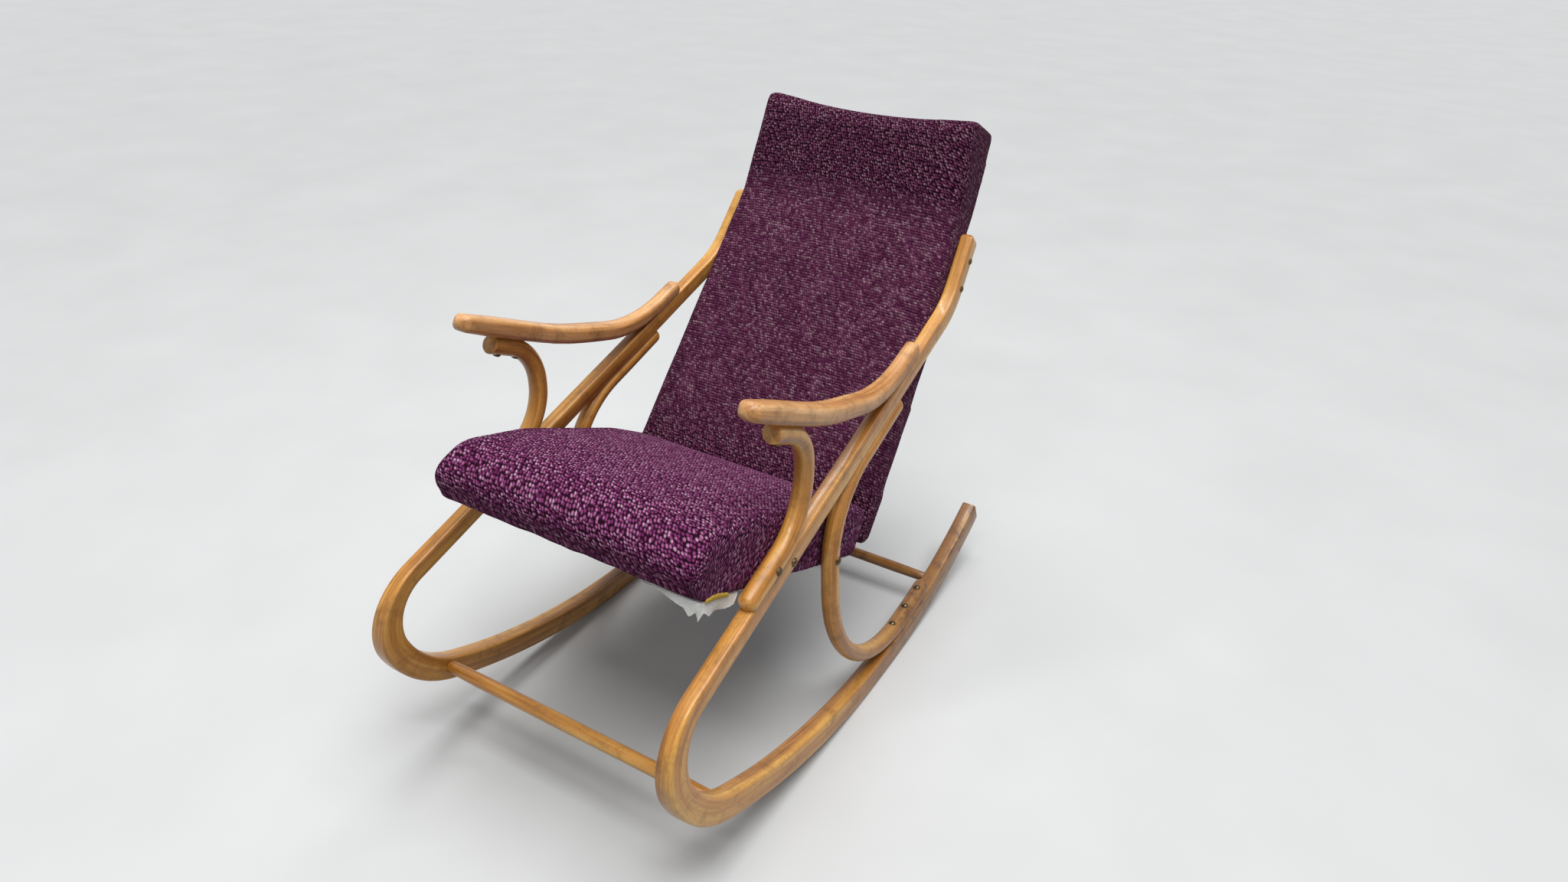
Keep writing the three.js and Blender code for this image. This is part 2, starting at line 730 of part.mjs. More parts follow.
function upholstered(origin, corners, halfWidth, edgeRadius, swell) {
  const columns = [];
  for (let step = cushionEdgeSteps; step >= 1; step -= 1) {
    const angle = ((90 * step) / cushionEdgeSteps) * degree;
    columns.push({ x: -(halfWidth - edgeRadius + edgeRadius * Math.sin(angle)), inset: edgeRadius * (1 - Math.cos(angle)) });
  }
  for (let k = 0; k <= cushionColumns; k += 1) {
    columns.push({ x: (halfWidth - edgeRadius) * ((2 * k) / cushionColumns - 1), inset: 0 });
  }
  for (let step = 1; step <= cushionEdgeSteps; step += 1) {
    const angle = ((90 * step) / cushionEdgeSteps) * degree;
    columns.push({ x: halfWidth - edgeRadius + edgeRadius * Math.sin(angle), inset: edgeRadius * (1 - Math.cos(angle)) });
  }
  const rings = columns.map(({ x, inset }) => {
    const across = 1 - (x / halfWidth) ** 2;
    return roundedRing(corners, inset).map((point) => {
      const moved = swell(point, across);
      const spot = stepAside(origin, moved.a, moved.n);
      return { x, y: spot.y, z: spot.z, flat: new THREE.Vector2(moved.a, moved.n) };
    });
  });
  const sides = rings[0].length;
  const points = rings.flat().map(({ x, y, z }) => [x, y, z]);
  const faces = [];
  for (let i = 0; i < rings.length - 1; i += 1) {
    for (let j = 0; j < sides; j += 1) {
      const next = (j + 1) % sides;
      const here = i * sides;
      const ahead = here + sides;
      faces.push([here + j, here + next, ahead + j], [here + next, ahead + next, ahead + j]);
    }
  }
  const cap = (ring) => THREE.ShapeUtils.triangulateShape(ring.map(({ flat }) => flat), []);
  const lastRing = (rings.length - 1) * sides;
  cap(rings[0]).forEach(([i, j, k]) => faces.push([i, k, j]));
  cap(rings[rings.length - 1]).forEach(([i, j, k]) => faces.push([lastRing + i, lastRing + j, lastRing + k]));
  return solidOf(geometryFrom(points, faces));
}

function fade(value, from, to) {
  const share = Math.min(1, Math.max(0, (value - from) / (to - from)));
  return share * share * (3 - 2 * share);
}

// Back

const backScrewPlace = placeOnPath(bow.path, bowLength - backScrewInset);
const backOrigin = { ...stepAside(backScrewPlace, 0, -backScrewDrop), heading: backPitch * degree };
const backHalf = frameX - diagonalWidth / 2 - backSideGap;
const backCorners = [
  { a: -backLowerReach, n: -backRearDepth, radius: backLowerRadius, bends: 2, runs: 1, tuckShare: 0.3 },
  { a: -backLowerReach + backLowerBevel, n: backFrontLowerRise, radius: backLowerRadius, bends: 2, runs: 4, tuckShare: 1 },
  { a: -backFrontMiddleReach, n: backFrontMiddleRise, radius: backMiddleRadius, bends: 1, runs: 5, tuckShare: 1 },
  { a: backFrontKinkReach, n: backFrontKinkRise, radius: backKinkRadius, bends: 2, runs: 3, tuckShare: 1 },
  { a: backFrontTopReach, n: backFrontTopRise, radius: backTopFrontRadius, bends: 4, runs: 3, tuckShare: 0.7 },
  { a: backTopReach, n: backTopSetback - backRearDepth, radius: backTopRearRadius, bends: 2, runs: 1, tuckShare: 0.3 },
  { a: backKinkReach, n: -backRearDepth, radius: backRearKinkRadius, bends: 1, runs: 1, tuckShare: 0.3 },
];
// The ring has to run anticlockwise, so the list above is turned round
const backOutline = reversedCorners(backCorners);

function reversedCorners(corners) {
  const turned = corners.slice().reverse();
  return turned.map((corner, i) => {
    const edge = turned[(i + 1) % turned.length];
    return { ...corner, runs: edge.runs, tuckShare: edge.tuckShare };
  });
}

function backSwell({ a, n }, across) {
  const rearLine = backRearLine(a);
  const frontShare = fade(n - rearLine, backRearDepth, backRearDepth + backFrontLowerRise);
  const lengthShare = fade(a, -backLowerReach + backLowerPad, -backFrontMiddleReach);
  const topShare = fade(a, backKinkReach, backTopReach);
  return {
    a: a - backTopDip * across * topShare,
    n: n + backCrown * across * frontShare * lengthShare * (1 - topShare / 2),
  };
}

function backRearLine(a) {
  const slope = backTopSetback / (backTopReach - backKinkReach);
  return -backRearDepth + Math.max(0, a - backKinkReach) * slope;
}

function backBand(fromA, toA, fromOffset, toOffset) {
  const lowerSide = [fromA, backKinkReach, toA].filter((a) => a >= fromA && a <= toA);
  const stops = [...new Set(lowerSide)];
  const under = stops.map((a) => stepAside(backOrigin, a, backRearLine(a) + fromOffset));
  const over = stops.map((a) => stepAside(backOrigin, a, backRearLine(a) + toOffset)).reverse();
  return [...under, ...over];
}

const boardUnder = backPanelThickness + clearance;
const stileUnder = boardUnder + backBoardThickness + clearance;
const backWebTop = stileUnder + backStileDepth + 2 * clearance + strapThickness;
const backRoomHalf = backHalf - backWall;
const backFrameFrom = -backLowerReach + backLowerPad;
const backFrameTo = backTopReach - backTopPad;
const backBody = upholstered(backOrigin, backOutline, backHalf, backEdgeRadius, backSwell);
let backCushion = backBody.subtract(
  solidOf(
    prism(
      backBand(backFrameFrom - clearance, backFrameTo + clearance, -overrun, backWebTop),
      -backRoomHalf,
      backRoomHalf,
    ),
  ),
);
const backFrameHalf = backRoomHalf - clearance;
const stileInner = backFrameHalf - backStileWidth;
let backStile = solidOf(
  prism(backBand(backFrameFrom, backFrameTo, stileUnder, stileUnder + backStileDepth), stileInner, backFrameHalf),
);
const railHalf = stileInner - clearance;
const backRail = (fromA) =>
  solidOf(prism(backBand(fromA, fromA + backRailHeight, stileUnder, stileUnder + backStileDepth), -railHalf, railHalf));
const backTopRail = backRail(backFrameTo - backRailHeight);
const backBottomRail = backRail(backFrameFrom);
const backPanel = solidOf(prism(backBand(backFrameFrom, backFrameTo, 0, backPanelThickness), -backFrameHalf, backFrameHalf));
const backBoard = solidOf(
  prism(backBand(backFrameFrom, backFrameTo, boardUnder, boardUnder + backBoardThickness), -backFrameHalf, backFrameHalf),
);
const strapFrom = stileUnder + backStileDepth + clearance;
const backStraps = [];
for (let k = 0; k < backStrapCount; k += 1) {
  const room = backKinkReach - strapWidth - backFrameFrom - backRailHeight;
  const from = backFrameFrom + backRailHeight + (room * (k + 0.5)) / backStrapCount;
  const band = backBand(from, from + strapWidth, strapFrom, strapFrom + strapThickness);
  backStraps.push(solidOf(prism(band, -backFrameHalf, backFrameHalf)));
}

// Seat

const seatHang = diagonalPlace(seatHangDistance, -seatHangDrop);
const seatOrigin = { ...seatHang, heading: seatPitch * degree };
const seatHalf = frameX - armSupportDiameter / 2 - seatSideGap;

function inSeat(place) {
  const [reach, rise] = [place.y - seatOrigin.y, place.z - seatOrigin.z];
  const heading = seatOrigin.heading;
  return {
    a: reach * Math.cos(heading) + rise * Math.sin(heading),
    n: rise * Math.cos(heading) - reach * Math.sin(heading),
  };
}

// How far back the back's front face lies at a height of the seat
function backFaceReach(rise) {
  const low = inSeat(stepAside(backOrigin, -backLowerReach + backLowerBevel, backFrontLowerRise));
  const high = inSeat(stepAside(backOrigin, -backFrontMiddleReach, backFrontMiddleRise));
  return low.a + ((high.a - low.a) * (rise - low.n)) / (high.n - low.n);
}

const seatRearReach = backFaceReach(seatTopRise) - seatBackGap;
const seatRearUnderReach = backFaceReach(-seatRearDrop) - seatBackGap;
const seatOutline = [
  { a: -seatFrontUnderReach, n: -seatFrontDrop, radius: seatFrontUnderRadius, bends: 2, runs: 1, tuckShare: 0.3 },
  { a: seatRearUnderReach, n: -seatRearDrop, radius: seatRearUnderRadius, bends: 1, runs: 1, tuckShare: 0.3 },
  { a: seatRearReach, n: seatTopRise, radius: seatRearTopRadius, bends: 2, runs: 3, tuckShare: 1 },
  { a: seatDomeRearReach, n: seatDomeRearRise, radius: seatDomeRadius, bends: 1, runs: 2, tuckShare: 1 },
  { a: -seatDomeFrontReach, n: seatDomeFrontRise, radius: seatDomeRadius, bends: 1, runs: 2, tuckShare: 1 },
  { a: -seatFrontRollReach, n: seatFrontRollRise, radius: seatFrontRollRadius, bends: 3, runs: 1, tuckShare: 1 },
  { a: -seatNoseReach, n: seatNoseRise, radius: seatNoseRadius, bends: 3, runs: 1, tuckShare: 0.8 },
];

function seatSwell({ a, n }, across) {
  const topShare = fade(n, 0, seatTopRise);
  const rearShare = 1 - fade(a, seatDomeRearReach, seatRearReach);
  return { a, n: n + seatCrown * across * topShare * rearShare };
}

function seatUnderLine(a) {
  const share = (a + seatFrontUnderReach) / (seatRearUnderReach + seatFrontUnderReach);
  return -seatFrontDrop - (seatRearDrop - seatFrontDrop) * share;
}

function seatBand(fromA, toA, underOffset, topN) {
  return [
    stepAside(seatOrigin, fromA, seatUnderLine(fromA) + underOffset),
    stepAside(seatOrigin, toA, seatUnderLine(toA) + underOffset),
    stepAside(seatOrigin, toA, topN),
    stepAside(seatOrigin, fromA, topN),
  ];
}

const seatRoomHalf = seatHalf - seatWall;
const seatFrameHalf = seatRoomHalf - clearance;
const seatFrameFrom = -seatFrontUnderReach + seatFrontPad;
const seatFrameTo = seatRearUnderReach - seatRearPad;
const seatWebTop = seatRailTop + 2 * clearance + strapThickness;
const backRoom = upholstered(
  backOrigin,
  backOutline,
  backHalf,
  backEdgeRadius,
  (point, across) => {
    const moved = backSwell(point, across);
    return { a: moved.a, n: moved.n + seatFoamGap };
  },
);
let seatCushion = upholstered(seatOrigin, seatOutline, seatHalf, seatEdgeRadius, seatSwell)
  .subtract(
    solidOf(
      prism(
        seatBand(seatFrameFrom - clearance, seatFrameTo + clearance, -overrun, seatWebTop),
        -seatRoomHalf,
        seatRoomHalf,
      ),
    ),
  )
  .subtract(backRoom);
const seatUnder = seatCoverThickness + clearance;
const seatRailInner = seatFrameHalf - seatRailWidth;
let seatSideRail = solidOf(
  prism(seatBand(seatFrameFrom, seatFrameTo, seatUnder, seatRailTop), seatRailInner, seatFrameHalf),
);
const seatRailHalf = seatRailInner - clearance;
const seatFrontRail = solidOf(
  prism(seatBand(seatFrameFrom, seatFrameFrom + seatRailWidth, seatUnder, seatRailTop), -seatRailHalf, seatRailHalf),
);
const seatRearRail = solidOf(
  prism(seatBand(seatFrameTo - seatRailWidth, seatFrameTo, seatUnder, seatRailTop), -seatRailHalf, seatRailHalf),
);
const seatStraps = [];
for (let k = 0; k < seatStrapCount; k += 1) {
  const room = seatFrameTo - seatFrameFrom - 2 * seatRailWidth;
  const middle = seatFrameFrom + seatRailWidth + (room * (k + 0.5)) / seatStrapCount;
  const from = middle - strapWidth / 2;
  const under = seatRailTop + clearance;
  const outline = [
    stepAside(seatOrigin, from, under),
    stepAside(seatOrigin, from + strapWidth, under),
    stepAside(seatOrigin, from + strapWidth, under + strapThickness),
    stepAside(seatOrigin, from, under + strapThickness),
  ];
  seatStraps.push(solidOf(prism(outline, -seatFrameHalf, seatFrameHalf)));
}

// Dust cover: a thin cloth under the seat frame, torn loose at the front left corner

function thinPlateAcross(outline, atA, thickness) {
  const shape = new THREE.Shape(outline.map(([x, n]) => new THREE.Vector2(x, n)));
  const geometry = new THREE.ExtrudeGeometry(shape, { depth: thickness, bevelEnabled: false });
  const out = geometry.attributes.position;
  for (let i = 0; i < out.count; i += 1) {
    const spot = stepAside(seatOrigin, atA - out.getZ(i), out.getY(i));
    out.setXYZ(i, out.getX(i), spot.y, spot.z);
  }
  return geometry;
}

function seatCoverSheet() {
  const sheet = solidOf(
    prism(
      [
        stepAside(seatOrigin, seatFrameFrom, seatUnderLine(seatFrameFrom)),
        stepAside(seatOrigin, seatFrameTo, seatUnderLine(seatFrameTo)),
        stepAside(seatOrigin, seatFrameTo, seatUnderLine(seatFrameTo) + seatCoverThickness),
        stepAside(seatOrigin, seatFrameFrom, seatUnderLine(seatFrameFrom) + seatCoverThickness),
      ],
      -seatFrameHalf,
      seatFrameHalf,
    ),
  );
  const sideFrom = seatFrameFrom + tornFrontInset;
  const half = seatCoverThickness / 2;
  const sideOutline = [
    stepAside(seatOrigin, sideFrom, seatUnderLine(sideFrom) + half),
    ...tornSideShares.map(([along, drop]) => {
      const a = sideFrom + tornSideLength * along;
      return stepAside(seatOrigin, a, seatUnderLine(a) - tornDrop * drop);
    }),
    stepAside(seatOrigin, sideFrom + tornSideLength, seatUnderLine(sideFrom + tornSideLength) + half),
  ];
  const sideX = seatFrameHalf - tornInset;
  const sideFlap = solidOf(prism(sideOutline, sideX, sideX + seatCoverThickness));
  const cornerX = sideX + seatCoverThickness;
  const frontOutline = [
    [cornerX, seatUnderLine(sideFrom) + half],
    [cornerX - tornFrontLength, seatUnderLine(sideFrom) + half],
    ...tornFrontShares
      .map(([along, drop]) => [cornerX - tornFrontLength * along, seatUnderLine(sideFrom) - tornDrop * drop])
      .reverse(),
  ];
  const frontFlap = solidOf(thinPlateAcross(frontOutline, sideFrom + seatCoverThickness, seatCoverThickness));
  return sheet.add(sideFlap).add(frontFlap);
}

const seatCover = seatCoverSheet();

// Fasteners: each is a turned body whose head lies on a shallow flat sunk in the wood

const fasteners = [];

function fastenerBody(kind, length, surface, axis) {
  const profile = [
    [0, -length],
    [kind.radius, -length + kind.radius * tipTaperShare],
    [kind.radius, 0],
    [kind.head, 0],
    [kind.head * domeShoulderRadiusShare, kind.dome * domeShoulderShare],
    [kind.head * domeCrownRadiusShare, kind.dome * domeCrownShare],
    [0, kind.dome],
  ];
  return solidOf(turned(profile, fastenerSides, surface, axis));
}

function fastenerRoom(kind, length, surface, axis) {
  const deep = length + clearance;
  const profile = [
    [0, -deep],
    [kind.radius + clearance, -deep],
    [kind.radius + clearance, -clearance],
    [kind.head + clearance, -clearance],
    [kind.head + clearance, overrun],
    [0, overrun],
  ];
  return solidOf(turned(profile, fastenerSides, surface, axis));
}

// Returns the room that the fastener needs, and keeps its body for both sides
function fasten(name, kind, x, spot, axis, surfaceToTip) {
  const seat = new THREE.Vector3(x, spot.y, spot.z).addScaledVector(axis, -kind.sink);
  const length = surfaceToTip - kind.sink;
  fasteners.push({ name, solid: splayed(fastenerBody(kind, length, seat, axis)) });
  return splayed(fastenerRoom(kind, length, seat, axis));
}

const upAxis = (heading) => new THREE.Vector3(0, -Math.sin(heading), Math.cos(heading));

// Seat bolts run sideways through the frame members into the seat's side rail
const seatBoltTip = seatFrameHalf - seatBoltBite;
const armSupportOuter = frameX + (armSupportDiameter / 2) * Math.cos((180 / ringSides) * degree);
const rearSupportOuter = frameX + (rearSupportDiameter / 2) * Math.cos((180 / ringSides) * degree);
const diagonalOuter = frameX + diagonalWidth / 2;
const upperBoltSpot = diagonalPlace(seatUpperBoltDistance, armSupportLift);
const upperBoltRoom = fasten(
  "seat_bolt_front_upper", boltShank, armSupportOuter, upperBoltSpot, acrossAxis, armSupportOuter - seatBoltTip,
);
const lowerBoltRoom = fasten(
  "seat_bolt_front_lower", boltShank, diagonalOuter, seatHang, acrossAxis, diagonalOuter - seatBoltTip,
);
const rearBoltHeight = stepAside(seatOrigin, seatRearBoltReach, -seatRearBoltDrop).z;
const rearUpright = rearPath.find((place, i) => i > 0 && place.z < rearBoltHeight);
const rearBoltSpot = placeAtHeight(rearPath, rearBoltHeight, rearUpright);
const rearBoltRoom = fasten(
  "seat_bolt_rear", boltShank, rearSupportOuter, rearBoltSpot, acrossAxis, rearSupportOuter - seatBoltTip,
);

function placeAtHeight(path, height, below) {
  const i = path.indexOf(below);
  const above = path[i - 1];
  const share = (above.z - height) / (above.z - below.z);
  return { y: above.y + (below.y - above.y) * share, z: height };
}

const seatRooms = [upperBoltRoom, lowerBoltRoom, rearBoltRoom];
for (const room of seatRooms) {
  seatSideRail = seatSideRail.subtract(room);
  seatCushion = seatCushion.subtract(room).subtract(room.mirror([1, 0, 0]));
}
armSupport = armSupport.subtract(upperBoltRoom);
sideBow = sideBow.subtract(lowerBoltRoom);
rearSupport = rearSupport.subtract(rearBoltRoom);

// Back screws run sideways through the bow into the back's stile
["back_screw_upper", "back_screw_lower"].forEach((name, i) => {
  const place = placeOnPath(bow.path, bowLength - backScrewInset - backScrewSpacing * i);
  const spot = stepAside(place, 0, -backScrewDrop);
  const reach = diagonalOuter - (backFrameHalf - backScrewBite);
  const room = fasten(name, screwShank, diagonalOuter, spot, acrossAxis, reach);
  sideBow = sideBow.subtract(room);
  backStile = backStile.subtract(room);
  backCushion = backCushion.subtract(room).subtract(room.mirror([1, 0, 0]));
});

// Lap bolts hold the rear support down on the rocker
for (let k = 0; k < 3; k += 1) {
  const lapRadius = rockerRadius - rockerDepth - rearSupportDiameter / 2 + rearSupportRockerLapDepth;
  const angle = rearSupportEndAngle * degree - (lapBoltInset + lapBoltSpacing * k) / lapRadius;
  const surfaceInset = rockerRadius - lapRadius + (rearSupportDiameter / 2) * Math.cos((180 / ringSides) * degree);
  const spot = rockerPlace(angle, surfaceInset);
  const reach = surfaceInset - rockerDepth + lapBoltBite;
  const room = fasten(`rocker_lap_bolt_${3 - k}`, lapShank, frameX, spot, upAxis(angle), reach);
  sideBow = sideBow.subtract(room);
  rearSupport = rearSupport.subtract(room);
}

// Screws up through the arm support's head into the armrest
for (let k = 0; k < 2; k += 1) {
  const middle = stepAside(armSupportTip, armScrewInset + armScrewSpacing * k, 0);
  const radius = (armSupportDiameter / 2) * Math.cos((180 / ringSides) * degree);
  const spot = stepAside({ ...middle, heading: armHeading }, 0, -radius);
  const reach = radius + armSupportDiameter / 2 - armSeatDepth + armScrewBite;
  const axis = upAxis(armHeading).negate();
  const room = fasten(`arm_support_screw_${k + 1}`, lapShank, frameX, spot, axis, reach);
  armSupport = armSupport.subtract(room);
  armrest = armrest.subtract(room);
}

// One screw down through the armrest's rear end into the diagonal
{
  const spot = diagonalPlace(armRearEndDistance - armRearScrewInset, armRearLift + armRearDepth / 2);
  const reach = armRearDepth - armLapDepth + armRearScrewBite;
  const room = fasten("armrest_rear_screw", screwShank, frameX, spot, upAxis(spot.heading), reach);
  armrest = armrest.subtract(room);
  sideBow = sideBow.subtract(room);
}

// Two screws up through the rear support's top end into the diagonal
for (let k = 0; k < 2; k += 1) {
  const lift = diagonalDepth / 2 + rearSupportDiameter / 2 - rearSupportTopLapDepth;
  const radius = (rearSupportDiameter / 2) * Math.cos((180 / ringSides) * degree);
  const spot = diagonalPlace(rearSupportTopDistance - rearScrewInset - rearScrewSpacing * k, -lift - radius);
  const reach = radius + rearSupportDiameter / 2 - rearSupportTopLapDepth + rearScrewBite;
  const axis = upAxis(spot.heading).negate();
  const room = fasten(`rear_support_screw_${k + 1}`, screwShank, frameX, spot, axis, reach);
  rearSupport = rearSupport.subtract(room);
  sideBow = sideBow.subtract(room);
}

// The assembly: what each side has, then what lies across

for (const [side, word] of [[1, "left"], [-1, "right"]]) {
  addPiece(`side_bow_${word}`, sideBow, beech, side);
  addPiece(`armrest_${word}`, armrest, wornBeech, side);
  addPiece(`arm_support_${word}`, armSupport, beech, side);
  addPiece(`rear_support_${word}`, rearSupport, beech, side);
  addPiece(`seat_side_rail_${word}`, seatSideRail, frameWood, side);
  addPiece(`back_stile_${word}`, backStile, frameWood, side);
  for (const { name, solid } of fasteners) addPiece(`${name}_${word}`, solid, bronzedSteel, side);
}
addPiece("front_stretcher", frontStretcher, beech);
addPiece("rear_stretcher", rearStretcher, beech);
addPiece("seat_front_rail", seatFrontRail, frameWood);
addPiece("seat_rear_rail", seatRearRail, frameWood);
seatStraps.forEach((strap, i) => addPiece(`seat_webbing_${i + 1}`, strap, jute));
addPiece("seat_cushion", seatCushion, plumTweed);
addPiece("seat_dust_cover", seatCover, dustCloth);
addPiece("back_top_rail", backTopRail, frameWood);
addPiece("back_bottom_rail", backBottomRail, frameWood);
addPiece("back_board", backBoard, frameWood);
backStraps.forEach((strap, i) => addPiece(`back_webbing_${i + 1}`, strap, jute));
addPiece("back_cushion", backCushion, plumTweed);
addPiece("back_cover_panel", backPanel, plumTweed);

// The origin is under the middle of the chair, on the floor
const box = new THREE.Box3().setFromObject(chair);
chair.position.set(0, -(box.min.y + box.max.y) / 2, -box.min.z);
chair.updateMatrixWorld(true);

export default chair;
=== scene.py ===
# %% [markdown]
# A bentwood rocking chair. Two side frames of steamed and bent beech lean in towards each
# other, and an upholstered seat and a tall back are bolted in between them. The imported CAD
# model holds the sizes and the hidden frame. This lesson dresses it: it bends smooth rods
# where the CAD has facets, pads the cushions by a cloth simulation, and gives every
# surface its finish. Lengths are written in millimetres and turned to metres by MM.

import json
import math

import bmesh
import bpy
import numpy as np
from mathutils import Matrix, Vector, noise

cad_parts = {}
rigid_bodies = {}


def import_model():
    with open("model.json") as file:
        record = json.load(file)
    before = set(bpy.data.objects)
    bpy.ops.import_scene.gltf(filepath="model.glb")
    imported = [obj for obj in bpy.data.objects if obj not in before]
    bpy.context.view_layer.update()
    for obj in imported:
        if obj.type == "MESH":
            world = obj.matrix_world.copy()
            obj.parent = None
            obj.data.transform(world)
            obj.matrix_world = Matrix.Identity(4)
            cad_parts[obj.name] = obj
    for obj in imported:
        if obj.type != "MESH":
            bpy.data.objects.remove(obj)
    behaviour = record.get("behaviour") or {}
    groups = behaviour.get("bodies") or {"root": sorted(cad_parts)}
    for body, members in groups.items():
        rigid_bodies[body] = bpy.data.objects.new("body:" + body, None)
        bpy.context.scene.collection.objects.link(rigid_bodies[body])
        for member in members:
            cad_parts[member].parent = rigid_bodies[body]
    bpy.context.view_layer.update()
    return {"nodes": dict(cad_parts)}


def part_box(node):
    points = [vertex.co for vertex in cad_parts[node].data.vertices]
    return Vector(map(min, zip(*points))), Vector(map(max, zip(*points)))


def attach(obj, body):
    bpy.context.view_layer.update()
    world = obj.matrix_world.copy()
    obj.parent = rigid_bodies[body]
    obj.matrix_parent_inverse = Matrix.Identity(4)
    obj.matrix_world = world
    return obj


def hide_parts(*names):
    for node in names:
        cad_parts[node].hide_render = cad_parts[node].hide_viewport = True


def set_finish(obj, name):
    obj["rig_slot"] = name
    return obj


for leftover in list(bpy.context.scene.objects):
    bpy.data.objects.remove(leftover)
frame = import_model()
MM = 0.001

# %% [markdown]
# The camera stands where the photograph was taken from: above and in front of the chair's left
# side, looking down at about thirty degrees. A phone's wide lens is about 24 mm on a
# 36 mm sensor, and the phone was held a little out of level.

# %% The camera
CAMERA_PLACE = (824.5, -1242.5, 1282.2)
CAMERA_HEADING = 29.95
CAMERA_PITCH = -29.80
CAMERA_ROLL = 1.60
LENS = 23.93
SENSOR = 36.0

lens = bpy.data.cameras.new("camera")
lens.lens = LENS
lens.sensor_width = SENSOR
lens.sensor_fit = "HORIZONTAL"
camera = bpy.data.objects.new("camera", lens)
bpy.context.scene.collection.objects.link(camera)
camera.matrix_world = (
    Matrix.Translation(Vector(CAMERA_PLACE) * MM)
    @ Matrix.Rotation(math.radians(CAMERA_HEADING), 4, "Z")
    @ Matrix.Rotation(math.radians(90 + CAMERA_PITCH), 4, "X")
    @ Matrix.Rotation(math.radians(CAMERA_ROLL), 4, "Z")
)
bpy.context.scene.camera = camera
print("camera height:", round(camera.matrix_world.translation.z, 3), "m")

# %% [markdown]
# Most of the work is done in edit mode by a few moves. One helper clears the selection
# and makes an object the active one, because an operator acts on all that is selected.
# Another extrudes a ring of points from station to station, which is how a long bent rod
# or a padded block is drawn by hand, and closes both ends. Each point also remembers its
# place in the unbent timber, so that the grain can follow the bend.


# %% Helpers for modelling
def pick(piece=None):
    """Selects only this object, or nothing."""
    bpy.ops.object.select_all(action="DESELECT")
    if piece is not None:
        piece.select_set(True)
    bpy.context.view_layer.objects.active = piece


def modify(piece, name, kind, **settings):
    modifier = piece.modifiers.new(name, kind)
    for key, value in settings.items():
        setattr(modifier, key, value)
    return modifier


def finish_modifiers(piece):
    """Applies every modifier on the piece, first to last."""
    pick(piece)
    for name in [modifier.name for modifier in piece.modifiers]:
        bpy.ops.object.modifier_apply(modifier=name)


def name_piece(piece, name):
    piece.name = name
    piece.data.name = name
    return piece


def even_normals():
    """Turns every face outward and leaves edit mode."""
    bpy.ops.mesh.select_all(action="SELECT")
    bpy.ops.mesh.normals_make_consistent(inside=False)
    bpy.ops.object.mode_set(mode="OBJECT")


def put_ring(piece, ring, grain):
    """Moves the selected ring of points to its station."""
    shape = bmesh.from_edit_mesh(piece.data)
    post = shape.verts.layers.int["post"]
    timber = shape.verts.layers.float_vector["grain"]
    for point in shape.verts:
        if point.select:
            index = point[post]
            point.co = ring[index]
            point[timber] = grain[index]
    bmesh.update_edit_mesh(piece.data)


def extrude_rings(name, rings, grains):
    """Draws a closed body by extruding a ring of points through its stations."""
    pick()
    bpy.ops.mesh.primitive_circle_add(vertices=len(rings[0]), radius=MM, fill_type="NOTHING")
    piece = name_piece(bpy.context.object, name)
    bpy.ops.object.transform_apply(location=True, rotation=True, scale=True)
    bpy.ops.object.mode_set(mode="EDIT")
    bpy.ops.mesh.select_mode(type="VERT")
    bpy.ops.mesh.select_all(action="SELECT")
    shape = bmesh.from_edit_mesh(piece.data)
    post = shape.verts.layers.int.new("post")
    shape.verts.layers.float_vector.new("grain")
    for index, point in enumerate(shape.verts):
        point[post] = index
    put_ring(piece, rings[0], grains[0])
    for ring, grain in zip(rings[1:], grains[1:]):
        bpy.ops.mesh.extrude_region_move(TRANSFORM_OT_translate={"value": (MM, 0, 0)})
        put_ring(piece, ring, grain)
    for end in (0, -1):
        bpy.ops.mesh.select_all(action="DESELECT")
        shape = bmesh.from_edit_mesh(piece.data)
        rim = [edge for edge in shape.edges if edge.is_boundary]
        side = {tuple(round(c, 7) for c in place) for place in rings[end]}
        for edge in rim:
            if all(tuple(round(c, 7) for c in point.co) in side for point in edge.verts):
                edge.select = True
        bmesh.update_edit_mesh(piece.data)
        bpy.ops.mesh.edge_face_add()
    even_normals()
    return piece

# %% [markdown]
# Each side of the chair is drawn first as if it stood upright in one plane, by the same
# paths as the CAD: straights and round bends, taken one after the other. Then the side is
# leaned in, because the two rockers stand wider apart than the two ends at the back.
# Bent wood has smooth curves, so the stations here are much closer than in the CAD.

# %% The way along a bent piece
FRAME_X = 271.0
LEAN = 0.06
LEAN_CORE = 200.0
CHAIR_SHIFT_Y = 67.652
CHAIR_SHIFT_Z = -0.292
STATION_SPACING = 24.0
BEND_STEP = math.radians(3.0)


def fade(value, start, end):
    share = min(1.0, max(0.0, (value - start) / (end - start)))
    return share * share * (3 - 2 * share)


def step_aside(place, along, lift):
    """A place is (y, z, heading, taper). This one lies ahead of it and above it."""
    y, z, heading, taper = place
    return (
        y + along * math.cos(heading) - lift * math.sin(heading),
        z + along * math.sin(heading) + lift * math.cos(heading),
        heading,
        taper,
    )


def turned_to(place, heading):
    return (place[0], place[1], heading, place[3])


def add_straight(path, length):
    start = path[-1]
    count = max(1, math.ceil(length / STATION_SPACING))
    path.extend(step_aside(start, length * k / count, 0) for k in range(1, count + 1))


